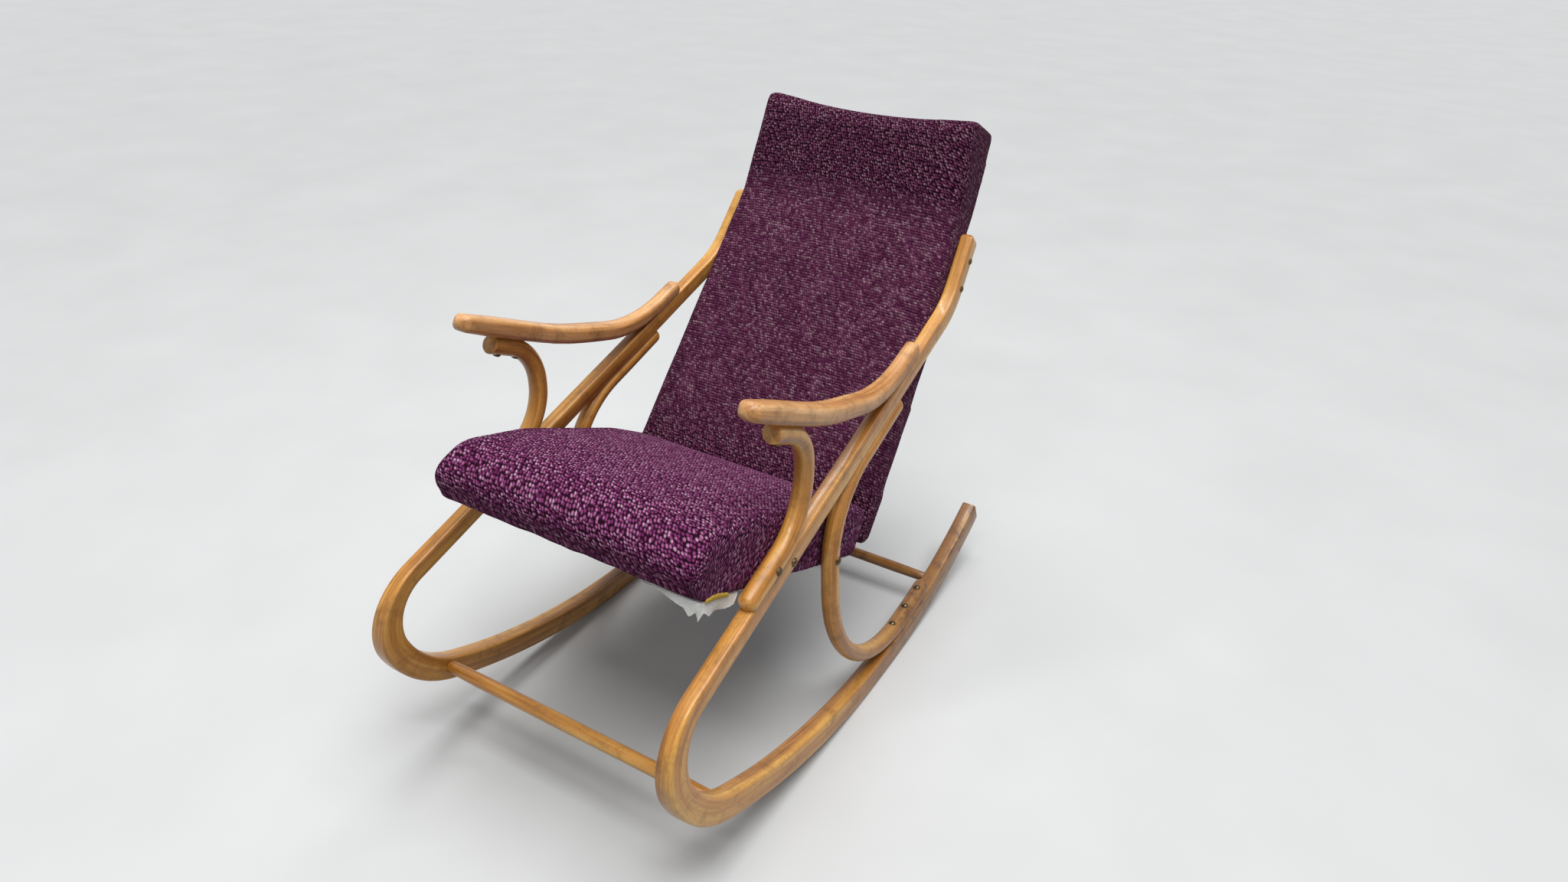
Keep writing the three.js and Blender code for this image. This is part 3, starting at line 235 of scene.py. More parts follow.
def add_bend(path, radius, turn, taper_end=None):
    first = path[-1]
    side = math.copysign(1, turn)
    middle = step_aside(first, 0, side * radius)
    count = max(1, math.ceil(abs(turn) / BEND_STEP))
    end = first[3] if taper_end is None else taper_end
    for k in range(1, count + 1):
        place = turned_to(middle, first[2] + turn * k / count)
        y, z, heading, _ = step_aside(place, 0, -side * radius)
        path.append((y, z, heading, first[3] + (end - first[3]) * fade(k, 0, count)))


def direction(start, end):
    return math.atan2(end[1] - start[1], end[0] - start[0])


def wrap(angle):
    return math.atan2(math.sin(angle), math.cos(angle))


def filleted_path(corners, radii):
    """Straights between corners, with a round bend at each corner."""
    path = [turned_to(corners[0], direction(corners[0], corners[1]))]
    used = 0
    for i in range(1, len(corners)):
        run = math.dist(corners[i][:2], corners[i - 1][:2])
        if i == len(corners) - 1:
            add_straight(path, run - used)
        else:
            turn = wrap(
                direction(corners[i], corners[i + 1]) - direction(corners[i - 1], corners[i])
            )
            tangent = radii[i - 1] * math.tan(abs(turn) / 2)
            add_straight(path, run - used - tangent)
            add_bend(path, radii[i - 1], turn)
            used = tangent
    return path


def path_lengths(path):
    lengths = [0.0]
    for before, after in zip(path, path[1:]):
        lengths.append(lengths[-1] + math.dist(before[:2], after[:2]))
    return lengths


# %% The side bow's path
ROCKER_RADIUS = 1134.0
ROCKER_WIDTH = 28.0
ROCKER_DEPTH = 41.0
ROCKER_REAR = math.radians(22.9)
ROCKER_FRONT = math.radians(24.92)
LOWER_BEND_RADIUS = 204.0
LOWER_BEND_TURN = math.radians(43.3)
UPPER_BEND_RADIUS = 86.0
DIAGONAL_PITCH = math.radians(18.4)
DIAGONAL_LENGTH = 779.0
DIAGONAL_WIDTH = 23.0
DIAGONAL_DEPTH = 29.7
TOP_BEND_RADIUS = 143.0
TOP_BEND_TURN = math.radians(31.0)
TOP_RUN = 83.0
BOW_NOSE = 11.5
BOW_CORNER = 0.18
ROCKER_STEP = math.radians(1.0)


def rocker_place(angle, inset):
    radius = ROCKER_RADIUS - inset
    return (radius * math.sin(angle), ROCKER_RADIUS - radius * math.cos(angle), angle, 0.0)


count = math.ceil((ROCKER_REAR + ROCKER_FRONT) / ROCKER_STEP)
bow_path = []
for k in range(count + 1):
    angle = ROCKER_REAR - (ROCKER_REAR + ROCKER_FRONT) * k / count
    bow_path.append(turned_to(rocker_place(angle, ROCKER_DEPTH / 2), math.pi + angle))
rocker_end = len(bow_path) - 1
add_bend(bow_path, LOWER_BEND_RADIUS, -LOWER_BEND_TURN)
add_bend(
    bow_path,
    UPPER_BEND_RADIUS,
    -(math.pi - ROCKER_FRONT - LOWER_BEND_TURN - DIAGONAL_PITCH),
    1.0,
)
diagonal_start = bow_path[-1]
add_straight(bow_path, DIAGONAL_LENGTH)
add_bend(bow_path, TOP_BEND_RADIUS, TOP_BEND_TURN)
add_straight(bow_path, TOP_RUN)
print("bow:", len(bow_path), "stations,", round(path_lengths(bow_path)[-1]), "mm of beech")


def diagonal_place(distance, lift):
    return step_aside(diagonal_start, distance, lift)


# %% From the upright side to its place in the chair
ARM_SPLAY = 8.0
SPLAY_FROM = 40.0
SPLAY_TO = 200.0


def splay_at(y, z):
    """The arm members bend outward a little as they rise from the diagonal."""
    y0, z0, heading, _ = diagonal_start
    lift = (z - z0) * math.cos(heading) - (y - y0) * math.sin(heading)
    return ARM_SPLAY * fade(lift, SPLAY_FROM, SPLAY_TO)


def leaned_x(x, z):
    shift = LEAN * z
    if abs(x) >= LEAN_CORE:
        return x - math.copysign(shift, x)
    return x * (LEAN_CORE - shift) / LEAN_CORE


def in_chair(x, y, z, splayed=False):
    """Drawing millimetres to the chair's own metres, never below the floor."""
    if splayed:
        x += splay_at(y, z)
    return Vector((leaned_x(x, z), y + CHAIR_SHIFT_Y, max(z + CHAIR_SHIFT_Z, 0.0))) * MM


def out_of_face(x, origin, along, out):
    """A point of the chair, told by its place across, along and out of a cushion's face."""
    return in_chair(x, *step_aside(origin, along, out)[:2])


# %% [markdown]
# A rocker bow starts as a square-sawn length of straight-grained beech. It is planed with
# rounded corners, steamed until it is limp, bent round an iron form and dried there, and
# its ends are rounded with a spokeshave. So the section here is a rectangle with generous
# corners, carried along the path, and a rounded end is the same ring again and again,
# smaller each time. Slight waves in the width keep it from looking extruded by a machine.

# %% Sections and sweeps
CORNER_POINTS = 6
ROUND_POINTS = 28
NOSE_ANGLES = [math.radians(angle) for angle in (87, 78, 66, 53, 39, 25, 12)]
SAW_BEVEL = 1.2
SAWN_FACE = 0.88
SAWN_RIM = 0.985
HAND_WAVE = 0.35
HAND_WAVE_LENGTH = 130.0


def boxed_section(width, depth, corner):
    """A rectangle with round corners, wide in u and deep in v."""
    points = []
    for quarter, (across, up) in enumerate(((1, 1), (-1, 1), (-1, -1), (1, -1))):
        for k in range(CORNER_POINTS):
            angle = (quarter + k / (CORNER_POINTS - 1)) * math.pi / 2
            points.append(
                (
                    across * (width / 2 - corner) + corner * math.cos(angle),
                    up * (depth / 2 - corner) + corner * math.sin(angle),
                )
            )
    return points


def round_section(diameter):
    turns = [2 * math.pi * k / ROUND_POINTS for k in range(ROUND_POINTS)]
    return [(diameter / 2 * math.cos(t), diameter / 2 * math.sin(t)) for t in turns]


def sweep(name, path, section_at, start_nose, end_nose, splayed=False):
    """Carries a section along a path. A nose of 0 is a flat saw cut."""
    lengths = path_lengths(path)
    total = lengths[-1]
    stops = []
    if start_nose > 0:
        for angle in NOSE_ANGLES:
            stops.append((path[0], -start_nose * math.sin(angle), 0.0, math.cos(angle)))
    else:
        stops.append((path[0], 0.0, 0.0, SAWN_FACE))
        stops.append((path[0], SAW_BEVEL, 0.0, SAWN_RIM))
    first_kept = 0 if start_nose > 0 else 1
    for place, length in list(zip(path, lengths))[first_kept:]:
        if end_nose > 0 or length < total:
            stops.append((place, 0.0, length, 1.0))
    if end_nose > 0:
        for angle in reversed(NOSE_ANGLES):
            stops.append((path[-1], end_nose * math.sin(angle), total, math.cos(angle)))
    else:
        stops.append((path[-1], -SAW_BEVEL, total, SAWN_RIM))
        stops.append((path[-1], 0.0, total, SAWN_FACE))
    rings, grains = [], []
    for place, ahead, length, scale in stops:
        place = step_aside(place, ahead, 0)
        wave = HAND_WAVE * noise.noise(Vector((length / HAND_WAVE_LENGTH, len(name), 0.5)))
        ring, grain = [], []
        for u, v in section_at(place, length / total):
            reach = max(math.hypot(u, v), 1e-6)
            u, v = (c * scale * (1 + wave / reach) for c in (u, v))
            y, z = step_aside(place, 0, v)[:2]
            ring.append(in_chair(FRAME_X + u, y, z, splayed))
            grain.append(Vector((length + ahead, u, v)) * MM)
        rings.append(ring)
        grains.append(grain)
    return extrude_rings(name, rings, grains)


SMOOTH_ANGLE = math.radians(40)
GRAIN_SHIFT = 3.7


def smooth(piece, angle=SMOOTH_ANGLE):
    pick(piece)
    bpy.ops.object.shade_smooth_by_angle(angle=angle)


def other_side(piece, name):
    """A mirrored copy for the chair's right side, cut from another length of timber."""
    pick(piece)
    bpy.ops.object.duplicate()
    twin = name_piece(bpy.context.object, name)
    bpy.ops.object.mode_set(mode="EDIT")
    bpy.ops.mesh.select_all(action="SELECT")
    bpy.ops.transform.resize(value=(-1, 1, 1), center_override=(0, 0, 0))
    even_normals()
    if "grain" in twin.data.attributes:
        for spot in twin.data.attributes["grain"].data:
            spot.vector = spot.vector + Vector((GRAIN_SHIFT, 0, 0))
    return twin


made = []


def settle(piece, node, slot):
    """Puts a finished piece in place of its CAD node, if it has one."""
    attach(piece, "root")
    if node:
        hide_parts(node)
    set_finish(piece, slot)
    made.append(piece)


def place_pair(piece, node, slot):
    """Smooths a left piece, mirrors it, and puts both in place of their CAD nodes."""
    smooth(piece)
    twin = other_side(piece, piece.name.replace("_left", "_right"))
    smooth(twin)
    settle(piece, f"{node}_left", slot)
    settle(twin, f"{node}_right", slot)
    return piece, twin


# %% The two side bows
def bow_section(place, along):
    taper = place[3]
    width = ROCKER_WIDTH + (DIAGONAL_WIDTH - ROCKER_WIDTH) * taper
    depth = ROCKER_DEPTH + (DIAGONAL_DEPTH - ROCKER_DEPTH) * taper
    return boxed_section(width, depth, min(width, depth) * BOW_CORNER)


bows = place_pair(
    sweep("bow_left", bow_path, bow_section, 0, BOW_NOSE), "side_bow", "beech"
)
print("bow points:", len(bows[0].data.vertices))

# %% [markdown]
# The arm support is an S: its foot is lapped on the diagonal, it rises, and its head scrolls
# forward under the armrest, where the saw cut shows as a flat disc. The armrest is a
# broader piece, rounded by hand, thin at its rear end where it is glued and screwed down
# on the diagonal. Both are swept like the bow, the armrest with a width that changes.

# %% Arm supports
SUPPORT_DIAMETER = 29.0
SUPPORT_LAP = 8.0
SUPPORT_NOSE = 11.0
SUPPORT_FOOT = 145.0
KNEE_AT = 302.0
KNEE_TO_ELBOW = 135.0
ELBOW_TO_TIP = 98.0
ARM_HEADING = math.radians(-25.2)
ELBOW_RADIUS = 84.0
KNEE_RADIUS = 104.0
support_lift = DIAGONAL_DEPTH / 2 + SUPPORT_DIAMETER / 2 - SUPPORT_LAP
knee = diagonal_place(KNEE_AT, support_lift)
elbow = (knee[0], knee[1] + KNEE_TO_ELBOW, ARM_HEADING, 0.0)
support_tip = step_aside(elbow, -ELBOW_TO_TIP, 0)
support_path = filleted_path(
    [support_tip, elbow, knee, diagonal_place(SUPPORT_FOOT, support_lift)],
    [ELBOW_RADIUS, KNEE_RADIUS],
)
support_section = round_section(SUPPORT_DIAMETER)


def support_ring(place, along):
    return support_section


place_pair(
    sweep("arm_scroll_left", support_path, support_ring, 0, SUPPORT_NOSE, True),
    "arm_support",
    "beech",
)

# %% Armrests
ARM_WIDTH = 40.0
ARM_DEPTH = 28.0
ARM_STATIONS = [0, 0.1, 0.35, 0.6, 0.82, 1]
ARM_WIDTHS = [0.82, 0.97, 1, 0.95, 0.72, 0.62]
ARM_DEPTHS = [0.9, 1, 1, 0.97, 0.9, 0.84]
ARM_CORNER = 0.34
ARM_LAP = 2.0
ARM_OVERHANG = 61.0
ARM_STRAIGHT = 204.0
ARM_LANDS = 557.0
ARM_ENDS = 676.0
ARM_BENDS = [700.0, 250.0]
ARM_NOSES = (14.0, 12.0)
arm_line = step_aside(support_tip, 0, ARM_DEPTH / 2 + SUPPORT_DIAMETER / 2 - ARM_LAP)
arm_tip = step_aside(arm_line, -ARM_OVERHANG, 0)
arm_rear_lift = DIAGONAL_DEPTH / 2 + ARM_DEPTH * ARM_DEPTHS[-1] / 2 - ARM_LAP
arm_rear = [diagonal_place(distance, arm_rear_lift) for distance in (ARM_LANDS, ARM_ENDS)]
arm_path = filleted_path([arm_tip, step_aside(arm_tip, ARM_STRAIGHT, 0), *arm_rear], ARM_BENDS)


def arm_section(place, along):
    width = ARM_WIDTH * float(np.interp(along, ARM_STATIONS, ARM_WIDTHS))
    depth = ARM_DEPTH * float(np.interp(along, ARM_STATIONS, ARM_DEPTHS))
    return boxed_section(width, depth, min(width, depth) * ARM_CORNER)


place_pair(sweep("arm_left", arm_path, arm_section, *ARM_NOSES, True), "armrest", "worn_beech")

# %% [markdown]
# The rear support hangs under the diagonal, drops straight down past the seat, sweeps round
# and runs back along the rocker, where three bolts hold it. It stiffens the side against
# folding. Its path ends in an arc that keeps an even lap on the rocker.

# %% Rear supports
REAR_DIAMETER = 28.0
REAR_LAP = 3.0
REAR_KNEE_RADIUS = 150.0
REAR_BEND_RADIUS = 230.0
REAR_END = math.radians(10.2)
REAR_NOSE = 12.0
REAR_TOP_AT = 596.0
REAR_KNEE_AT = 366.0
rear_lift = -(DIAGONAL_DEPTH / 2 + REAR_DIAMETER / 2 - REAR_LAP)
rear_top = diagonal_place(REAR_TOP_AT, rear_lift)
rear_knee = diagonal_place(REAR_KNEE_AT, rear_lift)
knee_turn = math.pi / 2 - DIAGONAL_PITCH
rear_path = [(rear_top[0], rear_top[1], rear_top[2] + math.pi, 0.0)]
add_straight(rear_path, REAR_TOP_AT - REAR_KNEE_AT - REAR_KNEE_RADIUS * math.tan(knee_turn / 2))
add_bend(rear_path, REAR_KNEE_RADIUS, knee_turn)
lap_radius = ROCKER_RADIUS - ROCKER_DEPTH - REAR_DIAMETER / 2 + REAR_LAP
bend_reach = lap_radius - REAR_BEND_RADIUS
meet_angle = math.asin((rear_knee[0] + REAR_BEND_RADIUS) / bend_reach)
bend_middle_z = ROCKER_RADIUS - bend_reach * math.cos(meet_angle)
add_straight(rear_path, rear_path[-1][1] - bend_middle_z)
add_bend(rear_path, REAR_BEND_RADIUS, math.pi / 2 + meet_angle)
lap_heading = rear_path[-1][2]
lap_steps = math.ceil((REAR_END - meet_angle) / ROCKER_STEP)
for k in range(1, lap_steps + 1):
    turn = (REAR_END - meet_angle) * k / lap_steps
    place = rocker_place(meet_angle + turn, ROCKER_RADIUS - lap_radius)
    rear_path.append(turned_to(place, lap_heading + turn))
rear_section = round_section(REAR_DIAMETER)


def rear_ring(place, along):
    return rear_section


place_pair(
    sweep("rear_scroll_left", rear_path, rear_ring, REAR_NOSE, REAR_NOSE),
    "rear_support",
    "beech",
)
print("rear support:", round(path_lengths(rear_path)[-1]), "mm long")

# %% [markdown]
# Two turned rods keep the rockers apart. A turner leaves them full in the middle and eases
# them towards each shoulder, where a thinner tenon goes into the bow.

# %% Stretchers
SHOULDER = FRAME_X - ROCKER_WIDTH / 2 - 0.3
TENON = 14.0
TENON_LENGTH = 16.0
TENON_TIP = 0.9
SHOULDER_STEP = 0.06
TAPER_LENGTH = 60.0
END_SHARE = 0.9
FRONT_ROD = 22.0
FRONT_ROD_AHEAD = 22.0
FRONT_ROD_DROP = 5.0
REAR_ROD = 20.0
REAR_ROD_ANGLE = math.radians(12.87)


def place_on_path(path, distance):
    lengths = path_lengths(path)
    i = max(1, min(len(path) - 1, int(np.searchsorted(lengths, distance))))
    share = (distance - lengths[i - 1]) / (lengths[i] - lengths[i - 1])
    return tuple(a + (b - a) * share for a, b in zip(path[i - 1], path[i]))


def stretcher(name, place, diameter):
    end = SHOULDER + TENON_LENGTH
    profile = [
        (-end, TENON * TENON_TIP),
        (-end + 1, TENON),
        (-SHOULDER - 0.01, TENON),
        (-SHOULDER, diameter * (END_SHARE - SHOULDER_STEP)),
        (-SHOULDER + 1.5, diameter * END_SHARE),
        (-SHOULDER + TAPER_LENGTH / 2, diameter * (1 + END_SHARE) / 2),
        (-SHOULDER + TAPER_LENGTH, diameter),
    ]
    profile += [(x, diameter) for x in np.arange(-160, 1, 40.0)]
    profile += [(-x, size) for x, size in reversed(profile) if x < 0]
    rings, grains = [], []
    for x, size in profile:
        ring, grain = [], []
        for u, v in round_section(size):
            ring.append(in_chair(x, place[0] + u, place[1] + v))
            grain.append(Vector((x, u, v)) * MM)
        rings.append(ring)
        grains.append(grain)
    return extrude_rings(name, rings, grains)


rocker_length = path_lengths(bow_path[: rocker_end + 1])[-1]
front_place = place_on_path(bow_path, rocker_length + FRONT_ROD_AHEAD)
front_rod = stretcher("front_rod", step_aside(front_place, 0, -FRONT_ROD_DROP), FRONT_ROD)
rear_rod = stretcher("rear_rod", rocker_place(REAR_ROD_ANGLE, ROCKER_DEPTH / 2), REAR_ROD)
for rod, node in ((front_rod, "front_stretcher"), (rear_rod, "rear_stretcher")):
    smooth(rod)
    settle(rod, node, "beech")
    low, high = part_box(node)
    print(node, "CAD box", [round(c, 4) for c in (*low, *high)])
    corners = [Vector(c) for c in rod.bound_box]
    print("  made box", [round(f(c[i] for c in corners), 4) for f in (min, max) for i in range(3)])

# %% [markdown]
# An upholstered seat is a frame with webbing, a block of foam cut to shape, and a cover
# pulled down over it and stapled underneath. The cover rounds every edge and draws the
# sides in. The outline of each cushion is drawn from the side, with a round corner at each
# turn, then carried across the chair, shrinking over the last centimetre and a half of
# each side.

# %% Outlines of the two cushions
EDGE_STEPS = 7
CUSHION_COLUMNS = 22
SIDE_DEFLATE = 0.4
LEAST_RADIUS = 0.2
MOST_OF_EDGE = 0.48


def offset_corners(corners, inset):
    """Moves each edge of the outline in by the inset times its own share."""
    lines = []
    for i, (a, n, *_, tuck) in enumerate(corners):
        next_a, next_n = corners[(i + 1) % len(corners)][:2]
        length = math.hypot(next_a - a, next_n - n)
        along = ((next_a - a) / length, (next_n - n) / length)
        shift = inset * tuck
        lines.append((a - along[1] * shift, n + along[0] * shift, along))
    moved = []
    for i, (a, n, radius, bends, runs, tuck) in enumerate(corners):
        before, after = lines[i - 1], lines[i]
        cross = before[2][0] * after[2][1] - before[2][1] * after[2][0]
        gap = (after[0] - before[0], after[1] - before[1])
        reach = (gap[0] * after[2][1] - gap[1] * after[2][0]) / cross
        place = (before[0] + before[2][0] * reach, before[1] + before[2][1] * reach)
        moved.append((*place, max(radius - inset, radius * LEAST_RADIUS), bends, runs, tuck))
    return moved


def rounded_ring(corners, inset):
    """The outline as points, each corner turned into an arc."""
    moved = offset_corners(corners, inset)
    count = len(moved)
    ends = []
    for i, corner in enumerate(moved):
        before, after = moved[i - 1], moved[(i + 1) % count]
        head_in = math.atan2(corner[1] - before[1], corner[0] - before[0])
        head_out = math.atan2(after[1] - corner[1], after[0] - corner[0])
        turn = wrap(head_out - head_in)
        half = math.tan(abs(turn) / 2)
        edges = [math.dist(near[:2], corner[:2]) for near in (before, after)]
        room = MOST_OF_EDGE * min(edges)
        tangent = min(corner[2] * half, room)
        ends.append((corner, head_in, turn, tangent, tangent / half))
    ring = []
    for i, (corner, head_in, turn, tangent, radius) in enumerate(ends):
        side = math.copysign(1, turn)
        start_a = corner[0] - math.cos(head_in) * tangent
        start_n = corner[1] - math.sin(head_in) * tangent
        middle = (
            start_a - side * radius * math.sin(head_in),
            start_n + side * radius * math.cos(head_in),
        )
        for k in range(corner[3] + 1):
            heading = head_in + turn * k / corner[3]
            ring.append(
                (
                    middle[0] + side * radius * math.sin(heading),
                    middle[1] - side * radius * math.cos(heading),
                )
            )
        following = ends[(i + 1) % count]
        to_a = following[0][0] - math.cos(following[1]) * following[3]
        to_n = following[0][1] - math.sin(following[1]) * following[3]
        from_a, from_n = ring[-1]
        for k in range(1, corner[4]):
            share = k / corner[4]
            ring.append((from_a + (to_a - from_a) * share, from_n + (to_n - from_n) * share))
    return ring


def cushion_block(name, origin, corners, half_width, edge_radius, swell, deflate):
    """Carries an outline across the chair. Deflate is how much smaller it starts."""
    columns = []
    inner = half_width - edge_radius
    turns = [math.pi / 2 * k / EDGE_STEPS for k in range(1, EDGE_STEPS + 1)]
    edge = [(inner + edge_radius * math.sin(turn), 1 - math.cos(turn)) for turn in turns]
    columns += [(-x, share) for x, share in reversed(edge)]
    for k in range(CUSHION_COLUMNS + 1):
        columns.append((inner * (2 * k / CUSHION_COLUMNS - 1), 0.0))
    columns += edge
    rings = []
    for x, share in columns:
        across = 1 - (x / half_width) ** 2
        narrow = x * (half_width - SIDE_DEFLATE) / half_width
        ring = []
        for a, n in rounded_ring(corners, deflate + edge_radius * share):
            a, n = swell(a, n, across, x)
            ring.append(out_of_face(narrow, origin, a, n))
        rings.append(ring)
    return extrude_rings(name, rings, rings)


def frame_room(name, origin, outline, half_width):
    """A plain prism that stands for the wooden frame's room under a cushion."""
    rings = [
        [out_of_face(x, origin, a, n) for a, n in outline]
        for x in np.linspace(-half_width, half_width, 9)
    ]
    return extrude_rings(name, rings, rings)


# %% [markdown]
# Foam under a tight cover swells against it everywhere but where the cover is stapled. A
# cloth simulation does the same: the block is turned into an even net of small squares,
# made into cloth, and blown up a little from inside, with gravity off. What touches the
# frame is pinned. How far a point may move is capped, so the cushion keeps the outline
# that the photograph shows and stays between its wooden neighbours.

# %% The padding helper
CLOTH_FRAMES = 20
PRESSURE = 4.0
NET_STEPS = 2
WRAP = 12.0
KNOT_ACROSS = 5.9
ROW_PITCH = 4.7


def places_of(piece):
    flat = np.empty(len(piece.data.vertices) * 3)
    piece.data.vertices.foreach_get("co", flat)
    return flat.reshape(-1, 3)


def set_places(piece, places):
    piece.data.vertices.foreach_set("co", places.ravel())
    piece.data.update()


def net_of(piece, spacing):
    """Turns a block into an even net, and eases the steps that this leaves."""
    modify(piece, "net", "REMESH", mode="VOXEL", voxel_size=spacing * MM)
    modify(piece, "ease", "SMOOTH", iterations=NET_STEPS)
    finish_modifiers(piece)


def blow_up(piece, pinned, cap):
    """Runs the cloth under pressure and caps how far each point may move."""
    start = places_of(piece)
    normals = np.empty(len(start) * 3)
    piece.data.vertex_normals.foreach_get("vector", normals)
    normals = normals.reshape(-1, 3)
    group = piece.vertex_groups.new(name="stapled")
    group.add([int(i) for i in np.flatnonzero(pinned(start))], 1.0, "REPLACE")
    cloth = modify(piece, "cover", "CLOTH")
    cloth.settings.vertex_group_mass = "stapled"
    cloth.settings.use_pressure = True
    cloth.settings.uniform_pressure_force = PRESSURE
    cloth.settings.effector_weights.gravity = 0
    cloth.point_cache.frame_start = 1
    cloth.point_cache.frame_end = CLOTH_FRAMES
    for step in range(1, CLOTH_FRAMES + 1):
        bpy.context.scene.frame_set(step)
    finish_modifiers(piece)
    bpy.context.scene.frame_set(1)
    piece.vertex_groups.clear()
    swelling = np.maximum(((places_of(piece) - start) * normals).sum(axis=1), 0)
    limit = cap * MM
    swelling = limit * np.tanh(swelling / limit)
    set_places(piece, start + normals * swelling[:, None])
    print(piece.name, "swells up to", round(swelling.max() / MM, 1), "mm")
    print("  mean swelling", round(swelling.mean() / MM, 2), "mm")


def back_to_drawing(places):
    """World metres to the upright drawing's millimetres: x, y, z."""
    x, y, z = (places / MM).T
    y = y - CHAIR_SHIFT_Y
    z = z - CHAIR_SHIFT_Z
    shift = LEAN * z
    core = np.abs(x) < LEAN_CORE - shift
    wide = np.where(core, x * LEAN_CORE / (LEAN_CORE - shift), x + np.sign(x) * shift)
    return wide, y, z


def face_axes(origin, y, z):
    """Along and out of a cushion's own face, in millimetres."""
    y0, z0, heading, _ = origin
    c, s = math.cos(heading), math.sin(heading)
    return (y - y0) * c + (z - z0) * s, (z - z0) * c - (y - y0) * s


def places_on_face(piece_places, origin):
    _, y, z = back_to_drawing(piece_places)
    return face_axes(origin, y, z)


def fade_all(values, start, end):
    share = np.clip((values - start) / (end - start), 0, 1)
    return share * share * (3 - 2 * share)


def note_weave(piece, origin, half_width=None, top_line=None, turns=None):
    """Each point remembers its place in the cover, as if that were spread out flat.

    The cover turns down past the face's own edges: at both sides, and at one end, where
    turns gives the start, the end and the direction of that turn.
    """
    x, y, z = back_to_drawing(places_of(piece))
    a, n = face_axes(origin, y, z)
    across, along = x, a
    if half_width:
        below = np.maximum(np.interp(a, *top_line) - n, 0)
        across = x + np.sign(x) * below * fade_all(np.abs(x), half_width - WRAP, half_width)
        along = a + turns[2] * below * fade_all(a, turns[0], turns[1])
    across = across + along * KNOT_ACROSS / (2 * ROW_PITCH)
    weave = piece.data.attributes.new("weave", "FLOAT_VECTOR", "POINT")
    weave.data.foreach_set("vector", (np.stack([across, along, n], axis=1) * MM).ravel())


def hold_sides(piece, half_width):
    """Nothing may swell past the side frames."""
    places = places_of(piece)
    x, y, z = back_to_drawing(places)
    over = np.maximum(np.abs(x) - half_width, 0)
    places[:, 0] -= np.sign(x) * over * MM
    set_places(piece, places)


# %% The back cushion
BACK_HALF = FRAME_X - DIAGONAL_WIDTH / 2 - 0.5
BACK_EDGE = 15.0
BACK_CROWN = 8.0
BACK_DIP = 20.0
BACK_LOWER = 522.0
BACK_KINK = 88.0
BACK_TOP = 236.0
BACK_REAR = 17.0
BACK_SETBACK = 26.0
BACK_DEFLATE = 0.5
BACK_NET = 7.0
BACK_CAP = 4.0
BACK_STAPLED = 10.0
BACK_SCREW_AT = 32.0
BACK_SCREW_LIFT = 6.0
BACK_HEADING = math.radians(48.4)
HEAD_FOOT = 33.0
LUMBAR = -277.0
LUMBAR_RISE = 30.0
LOWER_FRONT = (-BACK_LOWER + 12.0, 19.0)
PANEL_FOOT = -BACK_LOWER + 36.0
bow_length = path_lengths(bow_path)[-1]
back_screw = place_on_path(bow_path, bow_length - BACK_SCREW_AT)
back_origin = turned_to(step_aside(back_screw, 0, -BACK_SCREW_LIFT), BACK_HEADING)
# Each corner: along, out, radius, points in its bend, points to the next corner, and how
# much of the tuck the edge to the next corner takes
BACK_OUTLINE = [
    (BACK_KINK, -BACK_REAR, 120.0, 6, 8, 0.1),
    (BACK_TOP, BACK_SETBACK - BACK_REAR, 7.0, 6, 6, 0.6),
    (209.0, 105.0, 22.0, 8, 10, 1.0),
    (HEAD_FOOT, 47.0, 90.0, 8, 24, 1.0),
    (LUMBAR, LUMBAR_RISE, 400.0, 6, 18, 1.0),
    (*LOWER_FRONT, 9.0, 6, 4, 0.3),
    (-BACK_LOWER, 1.0, 14.0, 6, 4, 0.2),
    (-BACK_LOWER + 16.0, -BACK_REAR, 24.0, 6, 40, 0.1),
]


def back_rear_line(a):
    return -BACK_REAR + np.maximum(0.0, a - BACK_KINK) * BACK_SETBACK / (BACK_TOP - BACK_KINK)


def back_swell(a, n, across, x):
    front = fade(n - back_rear_line(a), BACK_REAR, BACK_REAR + 19.0)
    length = fade(a, PANEL_FOOT, LUMBAR)
    top = fade(a, BACK_KINK, BACK_TOP)
    dip = BACK_DIP * across * top
    along_rear = dip * BACK_SETBACK / (BACK_TOP - BACK_KINK) * (1 - front)
    return (
        a - dip,
        n + BACK_CROWN * across * front * length * (1 - top / 2) - along_rear,
    )


def back_is_stapled(places):
    a, n = places_on_face(places, back_origin)
    return n < back_rear_line(a) + BACK_STAPLED


back_cushion = cushion_block(
    "back_pad", back_origin, BACK_OUTLINE, BACK_HALF, BACK_EDGE, back_swell, BACK_DEFLATE
)
print("back block", [round(c, 4) for c in back_cushion.dimensions])
net_of(back_cushion, BACK_NET)
blow_up(back_cushion, back_is_stapled, BACK_CAP)
hold_sides(back_cushion, BACK_HALF)

# %% [markdown]
# The wooden frame of the back lies in a room cut into the foam from the rear, closed by a
# board and by a cloth panel whose edges are turned in and stapled.

# %% Room for the back's frame, and the cushion's finish
CUSHION_WALL = 6.0
PANEL = 1.2
BOARD = 4.0
STILE = 18.0
FIT = 0.3
STRAP = 2.0
CUSHION_SMOOTH = math.radians(55)
# The face's own line, along and out, and where the cover turns over its end
BACK_FACE = ([-510.0, LUMBAR, HEAD_FOOT, 209.0], [19.0, LUMBAR_RISE, 47.0, 105.0])
BACK_TURN = (200.0, 230.0, 1)
back_from = PANEL_FOOT
back_to = BACK_TOP - 26.0
back_depth = PANEL + FIT + BOARD + FIT + STILE + 2 * FIT + STRAP
room_half = BACK_HALF - CUSHION_WALL


